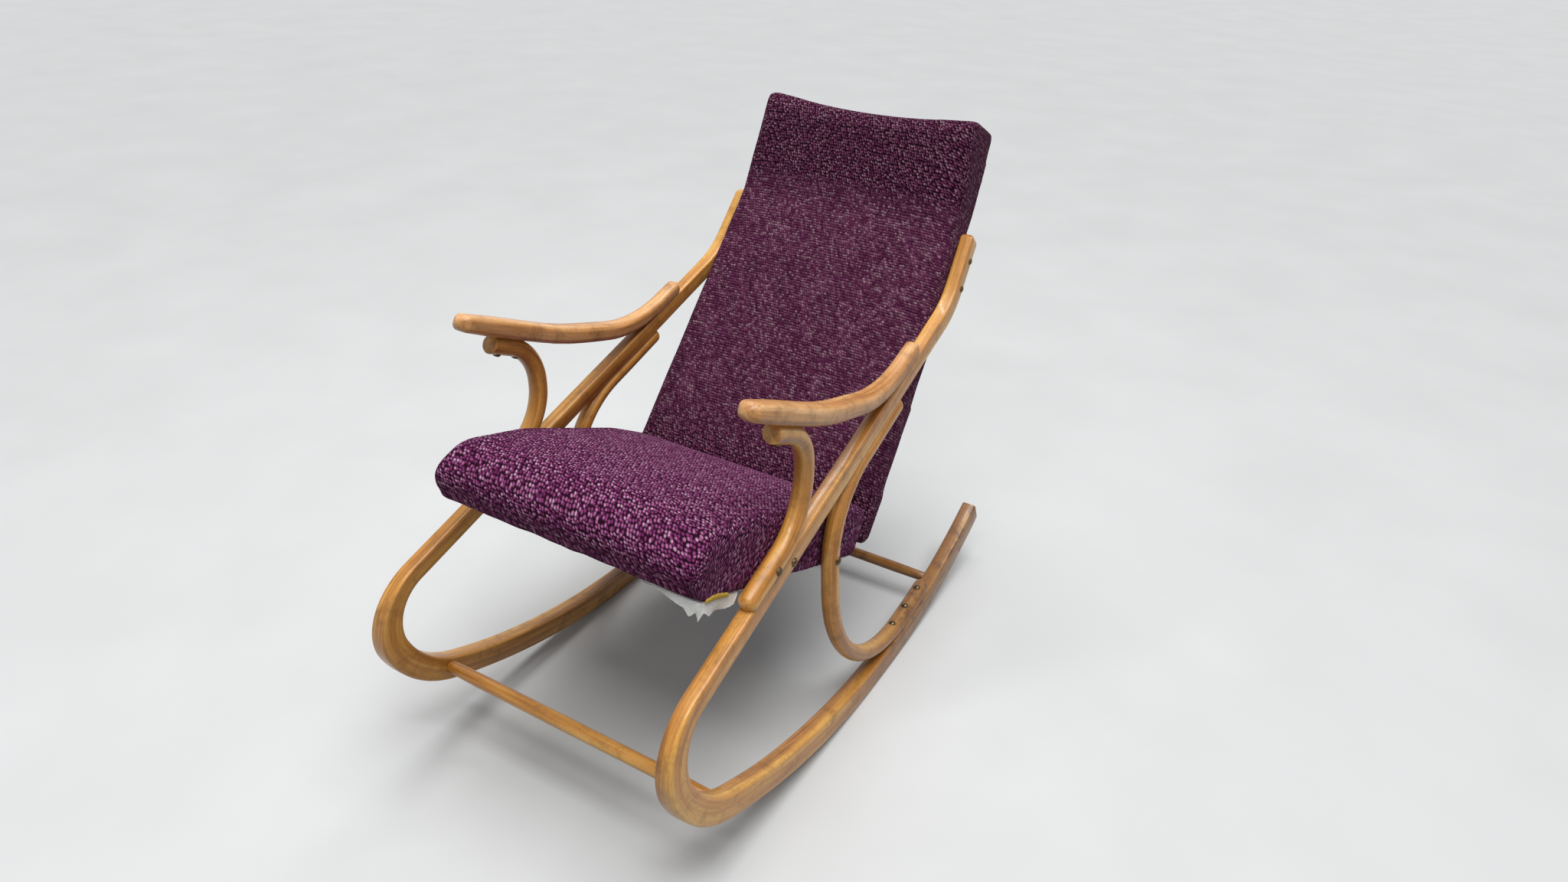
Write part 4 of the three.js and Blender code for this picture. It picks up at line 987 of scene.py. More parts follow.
def back_band(start, end, under, over):
    stops = [a for a in (start, BACK_KINK, end) if start <= a <= end]
    low = [(a, back_rear_line(a) + under) for a in stops]
    high = [(a, back_rear_line(a) + over) for a in reversed(stops)]
    return low + high


def finish_cushion(piece, origin, room, node, spread):
    """One subdivision, the frame's room, smooth shading, and its place in the assembly."""
    modify(piece, "finer", "SUBSURF", levels=1, render_levels=1)
    modify(piece, "room", "BOOLEAN", operation="DIFFERENCE", solver="EXACT", object=room)
    finish_modifiers(piece)
    bpy.data.objects.remove(room)
    note_weave(piece, origin, *spread)
    smooth(piece, CUSHION_SMOOTH)
    settle(piece, node, "plum_tweed")
    print(piece.name, "faces:", len(piece.data.polygons))


finish_cushion(
    back_cushion,
    back_origin,
    frame_room(
        "back_room",
        back_origin,
        back_band(back_from - FIT, back_to + FIT, -6.0, back_depth),
        room_half,
    ),
    "back_cushion",
    (BACK_HALF, BACK_FACE, BACK_TURN),
)

# %% The seat cushion
SEAT_HALF = FRAME_X - SUPPORT_DIAMETER / 2 - 0.5
SEAT_EDGE = 14.0
SEAT_CROWN = 6.5
SEAT_TOP = 35.0
SEAT_FRONT_DROP = 34.0
SEAT_REAR_DROP = 43.0
SEAT_FRONT_UNDER = 184.0
SEAT_DOME_REAR = 154.0
SEAT_DEFLATE = 0.5
SEAT_NET = 6.5
SEAT_CAP = 4.0
UNDER_TUCK = 0.1
STAPLED_REACH = 165.0
STAPLE_SPACING = 21.0
STAPLE_RIPPLE = 2.0
SEAT_STAPLED = 7.0
SEAT_REAR_STAPLED = 6.0
BACK_GAP = 1.0
seat_origin = turned_to(diagonal_place(243.0, -4.0), math.radians(-22.0))


def back_face_reach(rise):
    """How far back the seat goes at this height before it meets the back's face."""
    low = face_axes(seat_origin, *step_aside(back_origin, *LOWER_FRONT)[:2])
    high = face_axes(seat_origin, *step_aside(back_origin, LUMBAR, LUMBAR_RISE)[:2])
    return low[0] + (high[0] - low[0]) * (rise - low[1]) / (high[1] - low[1])


seat_rear = back_face_reach(SEAT_TOP) - BACK_GAP
seat_rear_under = back_face_reach(-SEAT_REAR_DROP) - BACK_GAP
SEAT_OUTLINE = [
    (-SEAT_FRONT_UNDER, -SEAT_FRONT_DROP, 8.0, 6, 26, UNDER_TUCK),
    (seat_rear_under, -SEAT_REAR_DROP, 7.0, 5, 6, 0.3),
    (seat_rear, SEAT_TOP, 12.0, 6, 10, 1.0),
    (SEAT_DOME_REAR, 55.0, 320.0, 8, 10, 1.0),
    (-46.0, 66.0, 320.0, 8, 6, 1.0),
    (-171.0, 56.0, 62.0, 10, 4, 1.0),
    (-222.0, 10.0, 30.0, 8, 4, 0.5),
]


def seat_swell(a, n, across, x):
    top = fade(n, 0, SEAT_TOP)
    rear = 1 - fade(a, SEAT_DOME_REAR, seat_rear)
    front_edge = 1 - fade(a, -STAPLED_REACH, -STAPLED_REACH + 30.0)
    ripple = noise.noise(Vector((x / STAPLE_SPACING, 0.3, 0.7)))
    low = 1 - fade(n, -20.0, 0.0)
    return a, n + SEAT_CROWN * across * top * rear + STAPLE_RIPPLE * ripple * front_edge * low


def seat_under_line(a):
    share = (a + SEAT_FRONT_UNDER) / (seat_rear_under + SEAT_FRONT_UNDER)
    return -SEAT_FRONT_DROP - (SEAT_REAR_DROP - SEAT_FRONT_DROP) * share


def seat_is_stapled(places):
    a, n = places_on_face(places, seat_origin)
    low = n < seat_under_line(a) + SEAT_STAPLED
    return low | (a > seat_rear_under + SEAT_REAR_STAPLED)


seat_cushion = cushion_block(
    "seat_pad", seat_origin, SEAT_OUTLINE, SEAT_HALF, SEAT_EDGE, seat_swell, SEAT_DEFLATE
)
net_of(seat_cushion, SEAT_NET)
blow_up(seat_cushion, seat_is_stapled, SEAT_CAP)
hold_sides(seat_cushion, SEAT_HALF)

SEAT_COVER = 1.4
RAIL_TOP = 24.0
SEAT_FACE = (
    [-222.0, -171.0, -46.0, SEAT_DOME_REAR, seat_rear],
    [10.0, 56.0, 66.0, 55.0, SEAT_TOP],
)
SEAT_TURN = (-150.0, -200.0, -1)
seat_room_half = SEAT_HALF - CUSHION_WALL
seat_from = -SEAT_FRONT_UNDER + 10.0
seat_to = seat_rear_under - 12.0


def seat_band(start, end, under, top):
    return [
        (start, seat_under_line(start) + under),
        (end, seat_under_line(end) + under),
        (end, top),
        (start, top),
    ]


finish_cushion(
    seat_cushion,
    seat_origin,
    frame_room(
        "seat_room",
        seat_origin,
        seat_band(seat_from - FIT, seat_to + FIT, -12.0, RAIL_TOP + 2 * FIT + STRAP),
        seat_room_half,
    ),
    "seat_cushion",
    (SEAT_HALF, SEAT_FACE, SEAT_TURN),
)

# %% [markdown]
# The rear of the back is one flat panel of the same tweed. A thin grid is laid on the
# board's rear face, bellied out a touch in the middle as stretched cloth over wadding is,
# and given its thickness. Its last row is turned in over the board's upper edge.

# %% The panel behind the back
PANEL_BELLY = 1.6
PANEL_ROWS = 56
HEM = 8.0
HEM_GAP = 1.0


def cloth_grid(name, columns, rows, place_at):
    """A grid of cloth whose points are placed by their share across and along."""
    pick()
    bpy.ops.mesh.primitive_grid_add(x_subdivisions=columns, y_subdivisions=rows, size=2)
    piece = name_piece(bpy.context.object, name)
    bpy.ops.object.transform_apply(location=True, rotation=True, scale=True)
    for point in piece.data.vertices:
        point.co = place_at((point.co.x + 1) / 2, (point.co.y + 1) / 2)
    return piece


def thicken(piece, thickness):
    """Gives a cloth its thickness, half to each side."""
    modify(piece, "wall", "SOLIDIFY", thickness=thickness * MM, offset=0, use_even_offset=True)
    finish_modifiers(piece)
    pick(piece)
    bpy.ops.object.mode_set(mode="EDIT")
    even_normals()


def panel_place(across, along):
    run = min(along * PANEL_ROWS / (PANEL_ROWS - 1), 1.0)
    a = back_from + (back_to - back_from) * run
    x = room_half * (2 * across - 1) * 0.999
    belly = PANEL_BELLY * math.sin(math.pi * across) * math.sin(math.pi * run)
    n = back_rear_line(a) + PANEL / 2 - belly
    if along > 1 - 0.5 / PANEL_ROWS:
        a += HEM_GAP
        n += HEM
    return out_of_face(x, back_origin, a, n)


back_panel = cloth_grid("back_panel_cloth", 40, PANEL_ROWS, panel_place)
thicken(back_panel, PANEL)
note_weave(back_panel, back_origin)
smooth(back_panel)
settle(back_panel, "back_cover_panel", "plum_tweed")

# %% [markdown]
# Under the seat a white non-woven cloth keeps the dust in. On this chair it has torn off
# its staples at the front left corner: a strip of it hangs in two pointed flaps, and a
# sliver of the yellow foam shows behind. The cover is one stretched sheet, and the flaps
# are small sheets of their own with a torn lower edge.

# %% The dust cover and its torn flaps
CLOTH = 0.7
TORN_DROP = 24.0
SIDE_LENGTH = 88.0
FRONT_LENGTH = 96.0
TORN_INSET = 3.0
TORN_FRONT_INSET = 3.0
SIDE_TEAR = ([0, 0.1, 0.25, 0.45, 0.7, 0.9, 1], [1.0, 0.55, 0.85, 0.7, 0.75, 0.6, 0.1])
FRONT_TEAR = ([0, 0.06, 0.15, 0.24, 0.45, 0.7, 1], [1.0, 0.6, 0.95, 0.55, 0.4, 0.22, 0.04])
SAG = 1.2
# Each curl: how far it goes, how quickly it waves along the flap, and where it starts
SIDE_CURL = (2.2, 9.0, 0.0)
FRONT_CURL = (2.0, 11.0, 1.0)
TEAR_CELLS = 42
seat_frame_half = seat_room_half - FIT


def cover_place(across, along):
    a = seat_from + (seat_to - seat_from) * along
    sag = SAG * math.sin(math.pi * across) * math.sin(math.pi * along)
    n = seat_under_line(a) + SEAT_COVER / 2 - sag
    return out_of_face(seat_frame_half * (2 * across - 1), seat_origin, a, n)


dust_cover = cloth_grid("dust_cover_cloth", 36, 32, cover_place)
thicken(dust_cover, SEAT_COVER)

side_from = -SEAT_FRONT_UNDER + TORN_FRONT_INSET
side_x = SEAT_HALF - TORN_INSET


def torn_depth(tear, along):
    ragged = 0.05 * noise.noise(Vector((along * 23.0, tear[1][0], 0)))
    return TORN_DROP * max(0.03, float(np.interp(along, *tear)) + ragged)


def curled(kind, across, along):
    reach, waves, start = kind
    return reach * math.sin(across * waves + start) * along**2


def side_flap_place(across, along):
    a = side_from + SIDE_LENGTH * across
    n = seat_under_line(a) - torn_depth(SIDE_TEAR, across) * along
    return out_of_face(side_x + curled(SIDE_CURL, across, along), seat_origin, a, n)


def front_flap_place(across, along):
    a = side_from + curled(FRONT_CURL, across, along)
    n = seat_under_line(side_from) - torn_depth(FRONT_TEAR, across) * along
    return out_of_face(side_x - FRONT_LENGTH * across, seat_origin, a, n)


side_flap = cloth_grid("torn_flap_side", TEAR_CELLS, 8, side_flap_place)
front_flap = cloth_grid("torn_flap_front", TEAR_CELLS, 8, front_flap_place)
spread = np.linspace(0, 1, 200)
for flap, tear, length in (
    (side_flap, SIDE_TEAR, SIDE_LENGTH),
    (front_flap, FRONT_TEAR, FRONT_LENGTH),
):
    thicken(flap, CLOTH)
    depths = [torn_depth(tear, share) for share in spread]
    settle(flap, None, "dust_cloth")
settle(dust_cover, "seat_dust_cover", "dust_cloth")
for cloth_piece in (dust_cover, side_flap, front_flap):
    smooth(cloth_piece)

# %% [markdown]
# Where the cover has let go, the side of the yellow foam shows at the seat's lower edge.
# It is a thin slip of foam, a little proud of the tweed, ragged along its upper edge.

# %% The foam that shows
FOAM_FROM = 12.0
FOAM_LENGTH = 54.0
FOAM_HEIGHT = 11.0
FOAM_SINK = 6.0
FOAM_PROUD = 0.6
FOAM_STATIONS = 19
foam_rings = []
for k in range(FOAM_STATIONS):
    share = k / (FOAM_STATIONS - 1)
    a = -SEAT_FRONT_UNDER + FOAM_FROM + FOAM_LENGTH * share
    ragged = noise.noise(Vector((share * 9.0, 1.3, 0.2)))
    height = FOAM_HEIGHT * (0.35 + 0.65 * math.sin(math.pi * share)) * (1 + 0.5 * ragged)
    low = seat_under_line(a) - 0.8
    ring = []
    for angle in np.linspace(0, 2 * math.pi, 13)[:-1]:
        x = SEAT_HALF - FOAM_SINK / 2 + FOAM_PROUD + FOAM_SINK / 2 * math.cos(angle)
        n = low + height / 2 * (1 + math.sin(angle))
        ring.append(out_of_face(x, seat_origin, a, n))
    foam_rings.append(ring)
foam_slip = extrude_rings("foam_slip", foam_rings, foam_rings)
smooth(foam_slip)
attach(foam_slip, "root")
print("foam slip:", FOAM_LENGTH, "mm long")

# %% [markdown]
# Bolts and screws are the same few kinds over and over. Each kind is turned once, as a
# profile of rings round its own axis: the shank, a flat rim, and a dome that stands up
# inside the rim. A copy is then set in the place and direction of each CAD fastener, which
# are read from the two points of the CAD node that lie furthest apart.

# %% Bolts and screws
TURNED_POINTS = 24
STEEL_SMOOTH = math.radians(50)
# Each kind: the radii of its shank and its head, and the height of its dome
KINDS = {
    "seat_bolt": (3.2, 7.0, 4.8),
    "rocker_lap_bolt": (2.8, 6.8, 4.6),
    "arm_support_screw": (2.8, 6.2, 3.6),
    "back_screw": (2.2, 5.4, 2.6),
    "armrest_rear_screw": (2.2, 4.4, 2.2),
    "rear_support_screw": (2.2, 4.4, 2.2),
}
MODEL_LENGTH = 30.0
DOME_SHARE = 0.88
# The CAD sinks each head; here it lies on the wood, a little lower where the wood is round.
# The armrest's rear screw lies deep under the arm's top, which stays whole
RAISE_FLAT = 2.0
RAISE_ROUND = 1.8
RAISE_ON_BEND = 2.1
SUNK = -4.0
ON_ROUND_WOOD = ("seat_bolt_front_upper", "seat_bolt_rear", "rocker_lap", "arm_support")


def turned_ring(radius, along):
    turns = [2 * math.pi * k / TURNED_POINTS for k in range(TURNED_POINTS)]
    return [Vector((radius * math.cos(t), radius * math.sin(t), along)) * MM for t in turns]


def fastener(name, shank, head, dome):
    rim = dome * 0.34
    dome_foot = head * DOME_SHARE
    profile = [(shank * 0.15, -MODEL_LENGTH), (shank, -MODEL_LENGTH + shank * 1.6)]
    profile += [(shank, 0.0), (head * 0.97, 0.0), (head, rim * 0.3), (head, rim * 0.7)]
    profile += [(head * 0.95, rim), (dome_foot * 1.05, rim * 1.02)]
    for k in range(6):
        angle = math.pi / 2 * k / 6
        height = rim + (dome - rim) * math.sin(angle)
        profile.append((dome_foot * math.cos(angle), height))
    profile.append((dome_foot * 0.08, dome))
    rings = [turned_ring(radius, along) for radius, along in profile]
    return extrude_rings(name, rings, rings)


def ends_of(node):
    """The tip and the crown of a CAD fastener, in metres."""
    points = np.array([tuple(v.co) for v in frame["nodes"][node].data.vertices])
    gap_depth_and_shade = np.linalg.norm(points[:, None] - points[None], axis=2)
    i, j = np.unravel_index(gap_depth_and_shade.argmax(), gap_depth_and_shade.shape)
    middle = points.mean(axis=0)
    nearer_first = np.linalg.norm(points[i] - middle) < np.linalg.norm(points[j] - middle)
    tip, crown = (j, i) if nearer_first else (i, j)
    return Vector(points[tip]), Vector(points[crown])


def fit_fastener(model, node, name, dome):
    """Copies the model into the CAD fastener's place, with the CAD's own length."""
    tip, crown = ends_of(node)
    lift = RAISE_ROUND if node.startswith(ON_ROUND_WOOD) else RAISE_FLAT
    if node.startswith("armrest_rear_screw"):
        lift = SUNK
    elif node.startswith("arm_support_screw_2"):
        lift = RAISE_ON_BEND
    crown += (crown - tip).normalized() * lift * MM
    axis = (crown - tip).normalized()
    length = (crown - tip).length - dome * MM
    pick(model)
    bpy.ops.object.duplicate()
    piece = name_piece(bpy.context.object, name)
    turn = Vector((0, 0, 1)).rotation_difference(axis).to_matrix()
    for point in piece.data.vertices:
        if point.co.z < -1.0 * MM:
            point.co.z += MODEL_LENGTH * MM - length
        point.co = turn @ point.co + crown - axis * dome * MM
    return piece


fastener_count = 0
for kind, (shank, head, dome) in KINDS.items():
    model = fastener(f"{kind}_model", shank, head, dome)
    for node in sorted(name for name in frame["nodes"] if name.startswith(kind)):
        piece = fit_fastener(model, node, f"{node}_steel", dome)
        smooth(piece, STEEL_SMOOTH)
        settle(piece, node, "bronzed_steel")
        fastener_count += 1
    bpy.data.objects.remove(model)
print("fasteners:", fastener_count)

# %% [markdown]
# A finish is a small graph of nodes. One helper adds a node, sets what it is told, and
# links what it is given. The others stand for the few nodes that every finish here is made
# of. One function turns the hex colours that a maker would read off a sample card into the
# linear values that the shader works with.

# %% Helpers for finishes
MIX_A, MIX_B, MIX_OUT = 6, 7, 2


def linear(hex_colour):
    """An sRGB hex colour as linear red, green, blue and 1."""
    parts = [int(hex_colour[i : i + 2], 16) / 255 for i in (1, 3, 5)]
    made_linear = [c / 12.92 if c <= 0.04045 else ((c + 0.055) / 1.055) ** 2.4 for c in parts]
    return (*made_linear, 1.0)


def new_finish(name):
    finish = bpy.data.materials.new(name)
    finish.use_nodes = True
    finish.node_tree.nodes.clear()
    return finish.node_tree


def add(tree, kind, inputs=None, stops=None, **settings):
    """Adds a node with its settings, its colour stops, and its values or links."""
    part = tree.nodes.new(kind)
    for key, value in settings.items():
        setattr(part, key, value)
    if stops:
        band = part.color_ramp.elements
        band.remove(band[-1])
        band[0].position, band[0].color = stops[0]
        for position, colour in stops[1:]:
            band.new(position).color = colour
    for key, value in (inputs or {}).items():
        if isinstance(value, bpy.types.NodeSocket):
            tree.links.new(value, part.inputs[key])
        else:
            part.inputs[key].default_value = value
    return part


def own_place(tree):
    return add(tree, "ShaderNodeTexCoord").outputs["Object"]


def attribute(tree, name):
    return add(tree, "ShaderNodeAttribute", attribute_name=name).outputs["Vector"]


def sides_of(tree, vector):
    return add(tree, "ShaderNodeSeparateXYZ", {"Vector": vector}).outputs


def stretched(tree, vector, scale):
    return add(tree, "ShaderNodeMapping", {"Vector": vector, "Scale": scale}).outputs["Vector"]


def noise_at(tree, vector, scale, detail, **more):
    inputs = {"Vector": vector, "Scale": scale, "Detail": detail, **more}
    return add(tree, "ShaderNodeTexNoise", inputs).outputs["Fac"]


def ranged(tree, value, low=0.0, high=1.0, to_low=0.0, to_high=1.0):
    """Turns the range from low to high into another one, and never leaves it."""
    inputs = {"Value": value, "From Min": low, "From Max": high}
    inputs.update({"To Min": to_low, "To Max": to_high})
    return add(tree, "ShaderNodeMapRange", inputs).outputs["Result"]


def maths(tree, operation, *values, **settings):
    inputs = dict(enumerate(values))
    return add(tree, "ShaderNodeMath", inputs, operation=operation, **settings).outputs[0]


def mixed(tree, share, first, second):
    inputs = {0: share, MIX_A: first, MIX_B: second}
    return add(tree, "ShaderNodeMix", inputs, data_type="RGBA").outputs[MIX_OUT]


def coloured(tree, value, stops):
    """A colour scale: each stop is a place on it and a hex colour."""
    stops = [(place, linear(colour)) for place, colour in stops]
    return add(tree, "ShaderNodeValToRGB", {"Fac": value}, stops=stops).outputs["Color"]


def bumped(tree, height, strength, distance, **settings):
    inputs = {"Height": height, "Strength": strength, "Distance": distance}
    return add(tree, "ShaderNodeBump", inputs, **settings).outputs["Normal"]


def surfaced(tree, inputs):
    """Ends a finish with its surface."""
    surface = add(tree, "ShaderNodeBsdfPrincipled", inputs)
    add(tree, "ShaderNodeOutputMaterial", {"Surface": surface.outputs[0]})
    return tree


def seen_directly(tree):
    """1 for what the camera sees, also in a mirror or through glass, otherwise 0."""
    ray = add(tree, "ShaderNodeLightPath").outputs
    seen = ray["Is Camera Ray"]
    for kind in ("Is Glossy Ray", "Is Transmission Ray"):
        seen = maths(tree, "MAXIMUM", seen, ray[kind])
    return seen


def give(piece, tree):
    """Puts a finish on a piece in place of all it had."""
    finish = next(m for m in bpy.data.materials if m.node_tree == tree)
    piece.data.materials.clear()
    piece.data.materials.append(finish)


# %% [markdown]
# Lacquered beech: pale pinkish-brown heartwood under a clear honey varnish. The eye gets
# three scales at once: broad drifts of tone along the length, fine straight fibres, and
# the short dark dashes of beech's rays. The varnish lies over it as a coat, so lamps
# mirror sharply in it. The pattern is read from the timber's own place, so it follows the
# bends as real grain does. Fibres are really under 1 mm wide and are drawn at about 3 mm.
# Painted shade darkens the wood low down and towards the rear; dirt lies in patches, with a few
# small dark specks.

# %% Beech, lacquered and worn
FIBRE_SCALE = (9.0, 330.0, 330.0)
DRIFT_SCALE = (3.2, 55.0, 55.0)
RAY_SCALE = (150.0, 900.0, 900.0)
DIRT_SCALE = 34.0
TAIL_SHADE = 0.7
SPECK_SCALE = 95.0
SPECK_SIZE = (0.06, 0.11)
SPECK_CHANCE = 0.78
TONE_STOPS = (0.5, 0.72, 0.95)
VARNISH_ROUGHNESS = 0.1


def beech_finish(name, tones, dirt_and_shade, dirt_share, roughness, coat):
    tree = new_finish(name)
    timber = attribute(tree, "grain")
    fibres = noise_at(tree, stretched(tree, timber, FIBRE_SCALE), 1.0, 4.0)
    drift = noise_at(tree, stretched(tree, timber, DRIFT_SCALE), 1.0, 3.0)
    both = maths(tree, "MULTIPLY_ADD", fibres, 0.45, drift)
    tone = coloured(tree, both, zip(TONE_STOPS, tones))
    rays = noise_at(tree, stretched(tree, timber, RAY_SCALE), 1.0, 1.0)
    ray_mask = ranged(tree, rays, 0.64, 0.76, to_high=0.5)
    rayed = mixed(tree, ray_mask, tone, linear(tones[3]))
    place = own_place(tree)
    sides = sides_of(tree, place)
    soil = noise_at(tree, place, DIRT_SCALE, 6.0, Roughness=0.7)
    patches = ranged(tree, soil, 0.49, 0.76, to_high=dirt_share)
    # Painted shade: darker low down and towards the rear, added to the dirt patches in one mask
    low = ranged(tree, sides["Z"], 0.55, 0.08)
    shade_towards_rear = ranged(tree, sides["Y"], -0.15, 0.2, to_high=TAIL_SHADE)
    soil_and_shade_mask = maths(tree, "MULTIPLY_ADD", low, shade_towards_rear, patches, use_clamp=True)
    soiled_and_shaded = mixed(tree, soil_and_shade_mask, rayed, linear(dirt_and_shade))
    cells = add(tree, "ShaderNodeTexVoronoi", {"Vector": place, "Scale": SPECK_SCALE}).outputs
    specks = ranged(tree, cells["Distance"], *SPECK_SIZE, 1.0, 0.0)
    chosen = maths(tree, "GREATER_THAN", cells["Color"], SPECK_CHANCE)
    speck_mask = maths(tree, "MULTIPLY", specks, chosen)
    return surfaced(
        tree,
        {
            "Base Color": mixed(tree, speck_mask, soiled_and_shaded, linear("#4a2c14")),
            "Roughness": ranged(tree, soil, to_low=roughness - 0.06, to_high=roughness + 0.12),
            "Normal": bumped(tree, both, 0.25, 0.0004),
            "Coat Weight": coat,
            "Coat Roughness": VARNISH_ROUGHNESS,
        },
    )


# The fifth colour is used for the dirt and for the painted shade low down at the rear
lacquered_beech = beech_finish(
    "lacquered beech", ("#8f581d", "#c48536", "#e4b05a", "#663a12"), "#6c3f0d", 0.62, 0.38, 0.3
)
worn_beech = beech_finish(
    "worn beech", ("#95602c", "#c88f55", "#e0b078", "#613a1a"), "#56320f", 0.68, 0.44, 0.22
)
for piece in made:
    if piece.name.startswith(("arm_left", "arm_right")):
        give(piece, worn_beech)
    elif piece.get("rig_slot") == "beech":
        give(piece, lacquered_beech)

# %% [markdown]
# The cover is a plum boucle tweed: thick looped yarns woven together, so the surface is a
# field of small knots in staggered rows. Their spacing, about 6 mm in rows 4.7 mm apart, is
# an estimate. The yarns differ little in colour. Cells of a Voronoi pattern are the knots;
# the pattern reads the cloth's own place, so that the rows run straight across each cushion.
# A bump gives each knot its relief, and the shade in the gaps between knots is painted
# into the colour, nearly black. Where the back's cover is pulled tight, painted shade draws
# the gaps between rows as thin dark lines.

# %% Plum tweed
LOOSENESS = 0.0035
KNOT_RANDOMNESS = 0.62
KNOT_EDGE = (0.24, 0.54)
ROW_LINE = (0.35, 0.9)
ROW_PATCHES = (0.3, 0.5)
TIGHT_KNOT = 0.6
TWEED_RELIEF = 0.0022


def tweed_finish(name, yarns, gap, row_span, sheen):
    """The row span is where, in metres along the cover, the dark lines start and end."""
    tree = new_finish(name)
    weave = attribute(tree, "weave")
    place = own_place(tree)
    drift = add(tree, "ShaderNodeTexNoise", {"Vector": weave, "Scale": 90.0, "Detail": 3.0})
    loose = add(
        tree,
        "ShaderNodeVectorMath",
        {0: drift.outputs["Color"], 1: (LOOSENESS,) * 3, 2: weave},
        operation="MULTIPLY_ADD",
    ).outputs["Vector"]
    counted = stretched(tree, loose, (1 / (KNOT_ACROSS * MM), 1 / (ROW_PITCH * MM), 1.0))
    knots = add(
        tree,
        "ShaderNodeTexVoronoi",
        {"Vector": counted, "Scale": 1.0, "Randomness": KNOT_RANDOMNESS},
        voronoi_dimensions="2D",
    ).outputs
    chance = add(tree, "ShaderNodeSeparateColor", {"Color": knots["Color"]}).outputs[0]
    yarn = coloured(tree, chance, yarns)
    along = sides_of(tree, weave)["Y"]
    # Painted shade: thin dark lines in the gaps between rows
    turns = maths(tree, "MULTIPLY", sides_of(tree, counted)["Y"], 2 * math.pi)
    rows = ranged(tree, maths(tree, "COSINE", turns), *ROW_LINE)
    starts = ranged(tree, along, row_span[0], row_span[0] + 0.1)
    ends = ranged(tree, along, row_span[1] - 0.03, row_span[1], 0.9, 0.0)
    for share in (ranged(tree, noise_at(tree, weave, 30.0, 2.0), *ROW_PATCHES), starts, ends):
        rows = maths(tree, "MULTIPLY", rows, share)
    tight = maths(tree, "MULTIPLY", starts, ends)
    flatter = ranged(tree, tight, to_low=1.0, to_high=TIGHT_KNOT)
    sunk = maths(tree, "MULTIPLY", ranged(tree, knots["Distance"], *KNOT_EDGE), flatter)
    # Painted shade: the gaps between knots and rows darken the colour to the gap colour; the same
    # mask is the bump's height
    gap_depth_and_shade = maths(tree, "MAXIMUM", sunk, rows)
    shaded = mixed(tree, gap_depth_and_shade, yarn, linear(gap))
    fuzz = noise_at(tree, place, 700.0, 3.0)
    fuzz_tone = ranged(tree, fuzz, to_low=0.7, to_high=1.3)
    fuzzy = add(
        tree, "ShaderNodeVectorMath", {0: shaded, "Scale": fuzz_tone}, operation="SCALE"
    ).outputs["Vector"]
    height = maths(tree, "MULTIPLY_ADD", fuzz, 0.35, gap_depth_and_shade)
    return surfaced(
        tree,
        {
            "Base Color": fuzzy,
            "Roughness": 0.92,
            "Normal": bumped(tree, height, 0.9, TWEED_RELIEF, invert=True),
            "Specular IOR Level": 0.06,
            "Sheen Weight": sheen,
            "Sheen Roughness": 0.4,
            "Sheen Tint": linear("#e3b4cf"),
        },
    )


SEAT_YARNS = [(0.0, "#661f53"), (0.4, "#873d70"), (0.8, "#a5638f"), (1.0, "#c192b0")]
# Painted shade: the back's yarns are a darker copy of the seat's, though both are one cloth
SHADED_BACK_YARNS = [(0.0, "#54203f"), (0.4, "#6c3656"), (0.8, "#815169"), (1.0, "#997686")]
# The seat's span lies far off the cushion, so the seat gets no dark lines
NO_ROWS = (-9.0, -8.0)
BACK_ROWS = (-0.46, 0.075)
# Each tweed's nearly black gap colour is painted shade for the gaps between knots and rows
seat_tweed = tweed_finish("plum boucle tweed, seat", SEAT_YARNS, "#240619", NO_ROWS, 0.07)
shaded_back_tweed = tweed_finish("plum boucle tweed, back", SHADED_BACK_YARNS, "#1f0616", BACK_ROWS, 0.05)
for piece, tweed in (
    (seat_cushion, seat_tweed),
    (back_cushion, shaded_back_tweed),
    (back_panel, shaded_back_tweed),
):
    give(piece, tweed)

# %% [markdown]
# What is hidden or hangs below: the dust cover is a white felt of plastic fibres pressed
# together, the frame is sawn hardwood left bare, and the webbing is woven jute. Old
# polyurethane foam goes from white to a warm mustard yellow, and its cut face is full of
# tiny open cells.

# %% Dust cloth, frame wood, webbing and foam
def plain_finish(name, low, high, scale, roughness, bump_depth):
    tree = new_finish(name)
    field = noise_at(tree, stretched(tree, own_place(tree), scale), 1.0, 5.0)
    return surfaced(
        tree,
        {
            "Base Color": coloured(tree, field, ((0.32, low), (0.68, high))),
            "Roughness": roughness,
            "Normal": bumped(tree, field, 0.5, bump_depth),
        },
    )


dust_cloth, frame_wood, jute, yellow_foam = (
    plain_finish(*row)
    for row in (
        ("non-woven dust cloth", "#c9c9c4", "#e4e4e0", (420, 420, 420), 0.85, 0.0004),
        ("sawn frame hardwood", "#a98555", "#cfae7d", (30, 260, 260), 0.75, 0.0005),
        ("jute webbing", "#7d6440", "#ab8f62", (700, 250, 250), 0.9, 0.0008),
        ("aged yellow foam", "#a07a22", "#cfae48", (900, 900, 900), 0.9, 0.0006),
    )
)
for cloth_piece in (dust_cover, side_flap, front_flap):
    give(cloth_piece, dust_cloth)
give(foam_slip, yellow_foam)

# %% [markdown]
# The bolts are steel, coloured brown in a hot oil bath, now rubbed to brass-brown on their
# crowns with darker rims.

# %% Bronzed steel
tree = new_finish("bronzed steel")
blotch = noise_at(tree, own_place(tree), 500.0, 4.0)
bronzed_steel = surfaced(
    tree,
    {
        "Base Color": coloured(
            tree, blotch, ((0.35, "#392c20"), (0.55, "#66533a"), (0.75, "#94805c"))
        ),
        "Roughness": ranged(tree, blotch, to_low=0.42, to_high=0.24),
        "Metallic": 0.9,
    },
)
for piece in made:
    if piece.get("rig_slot") == "bronzed_steel":
        give(piece, bronzed_steel)
still_shown = {name: node for name, node in frame["nodes"].items() if not node.hide_render}
for name, node in still_shown.items():
    give(node, jute if "webbing" in name else frame_wood)
print("nodes still shown:", list(still_shown))

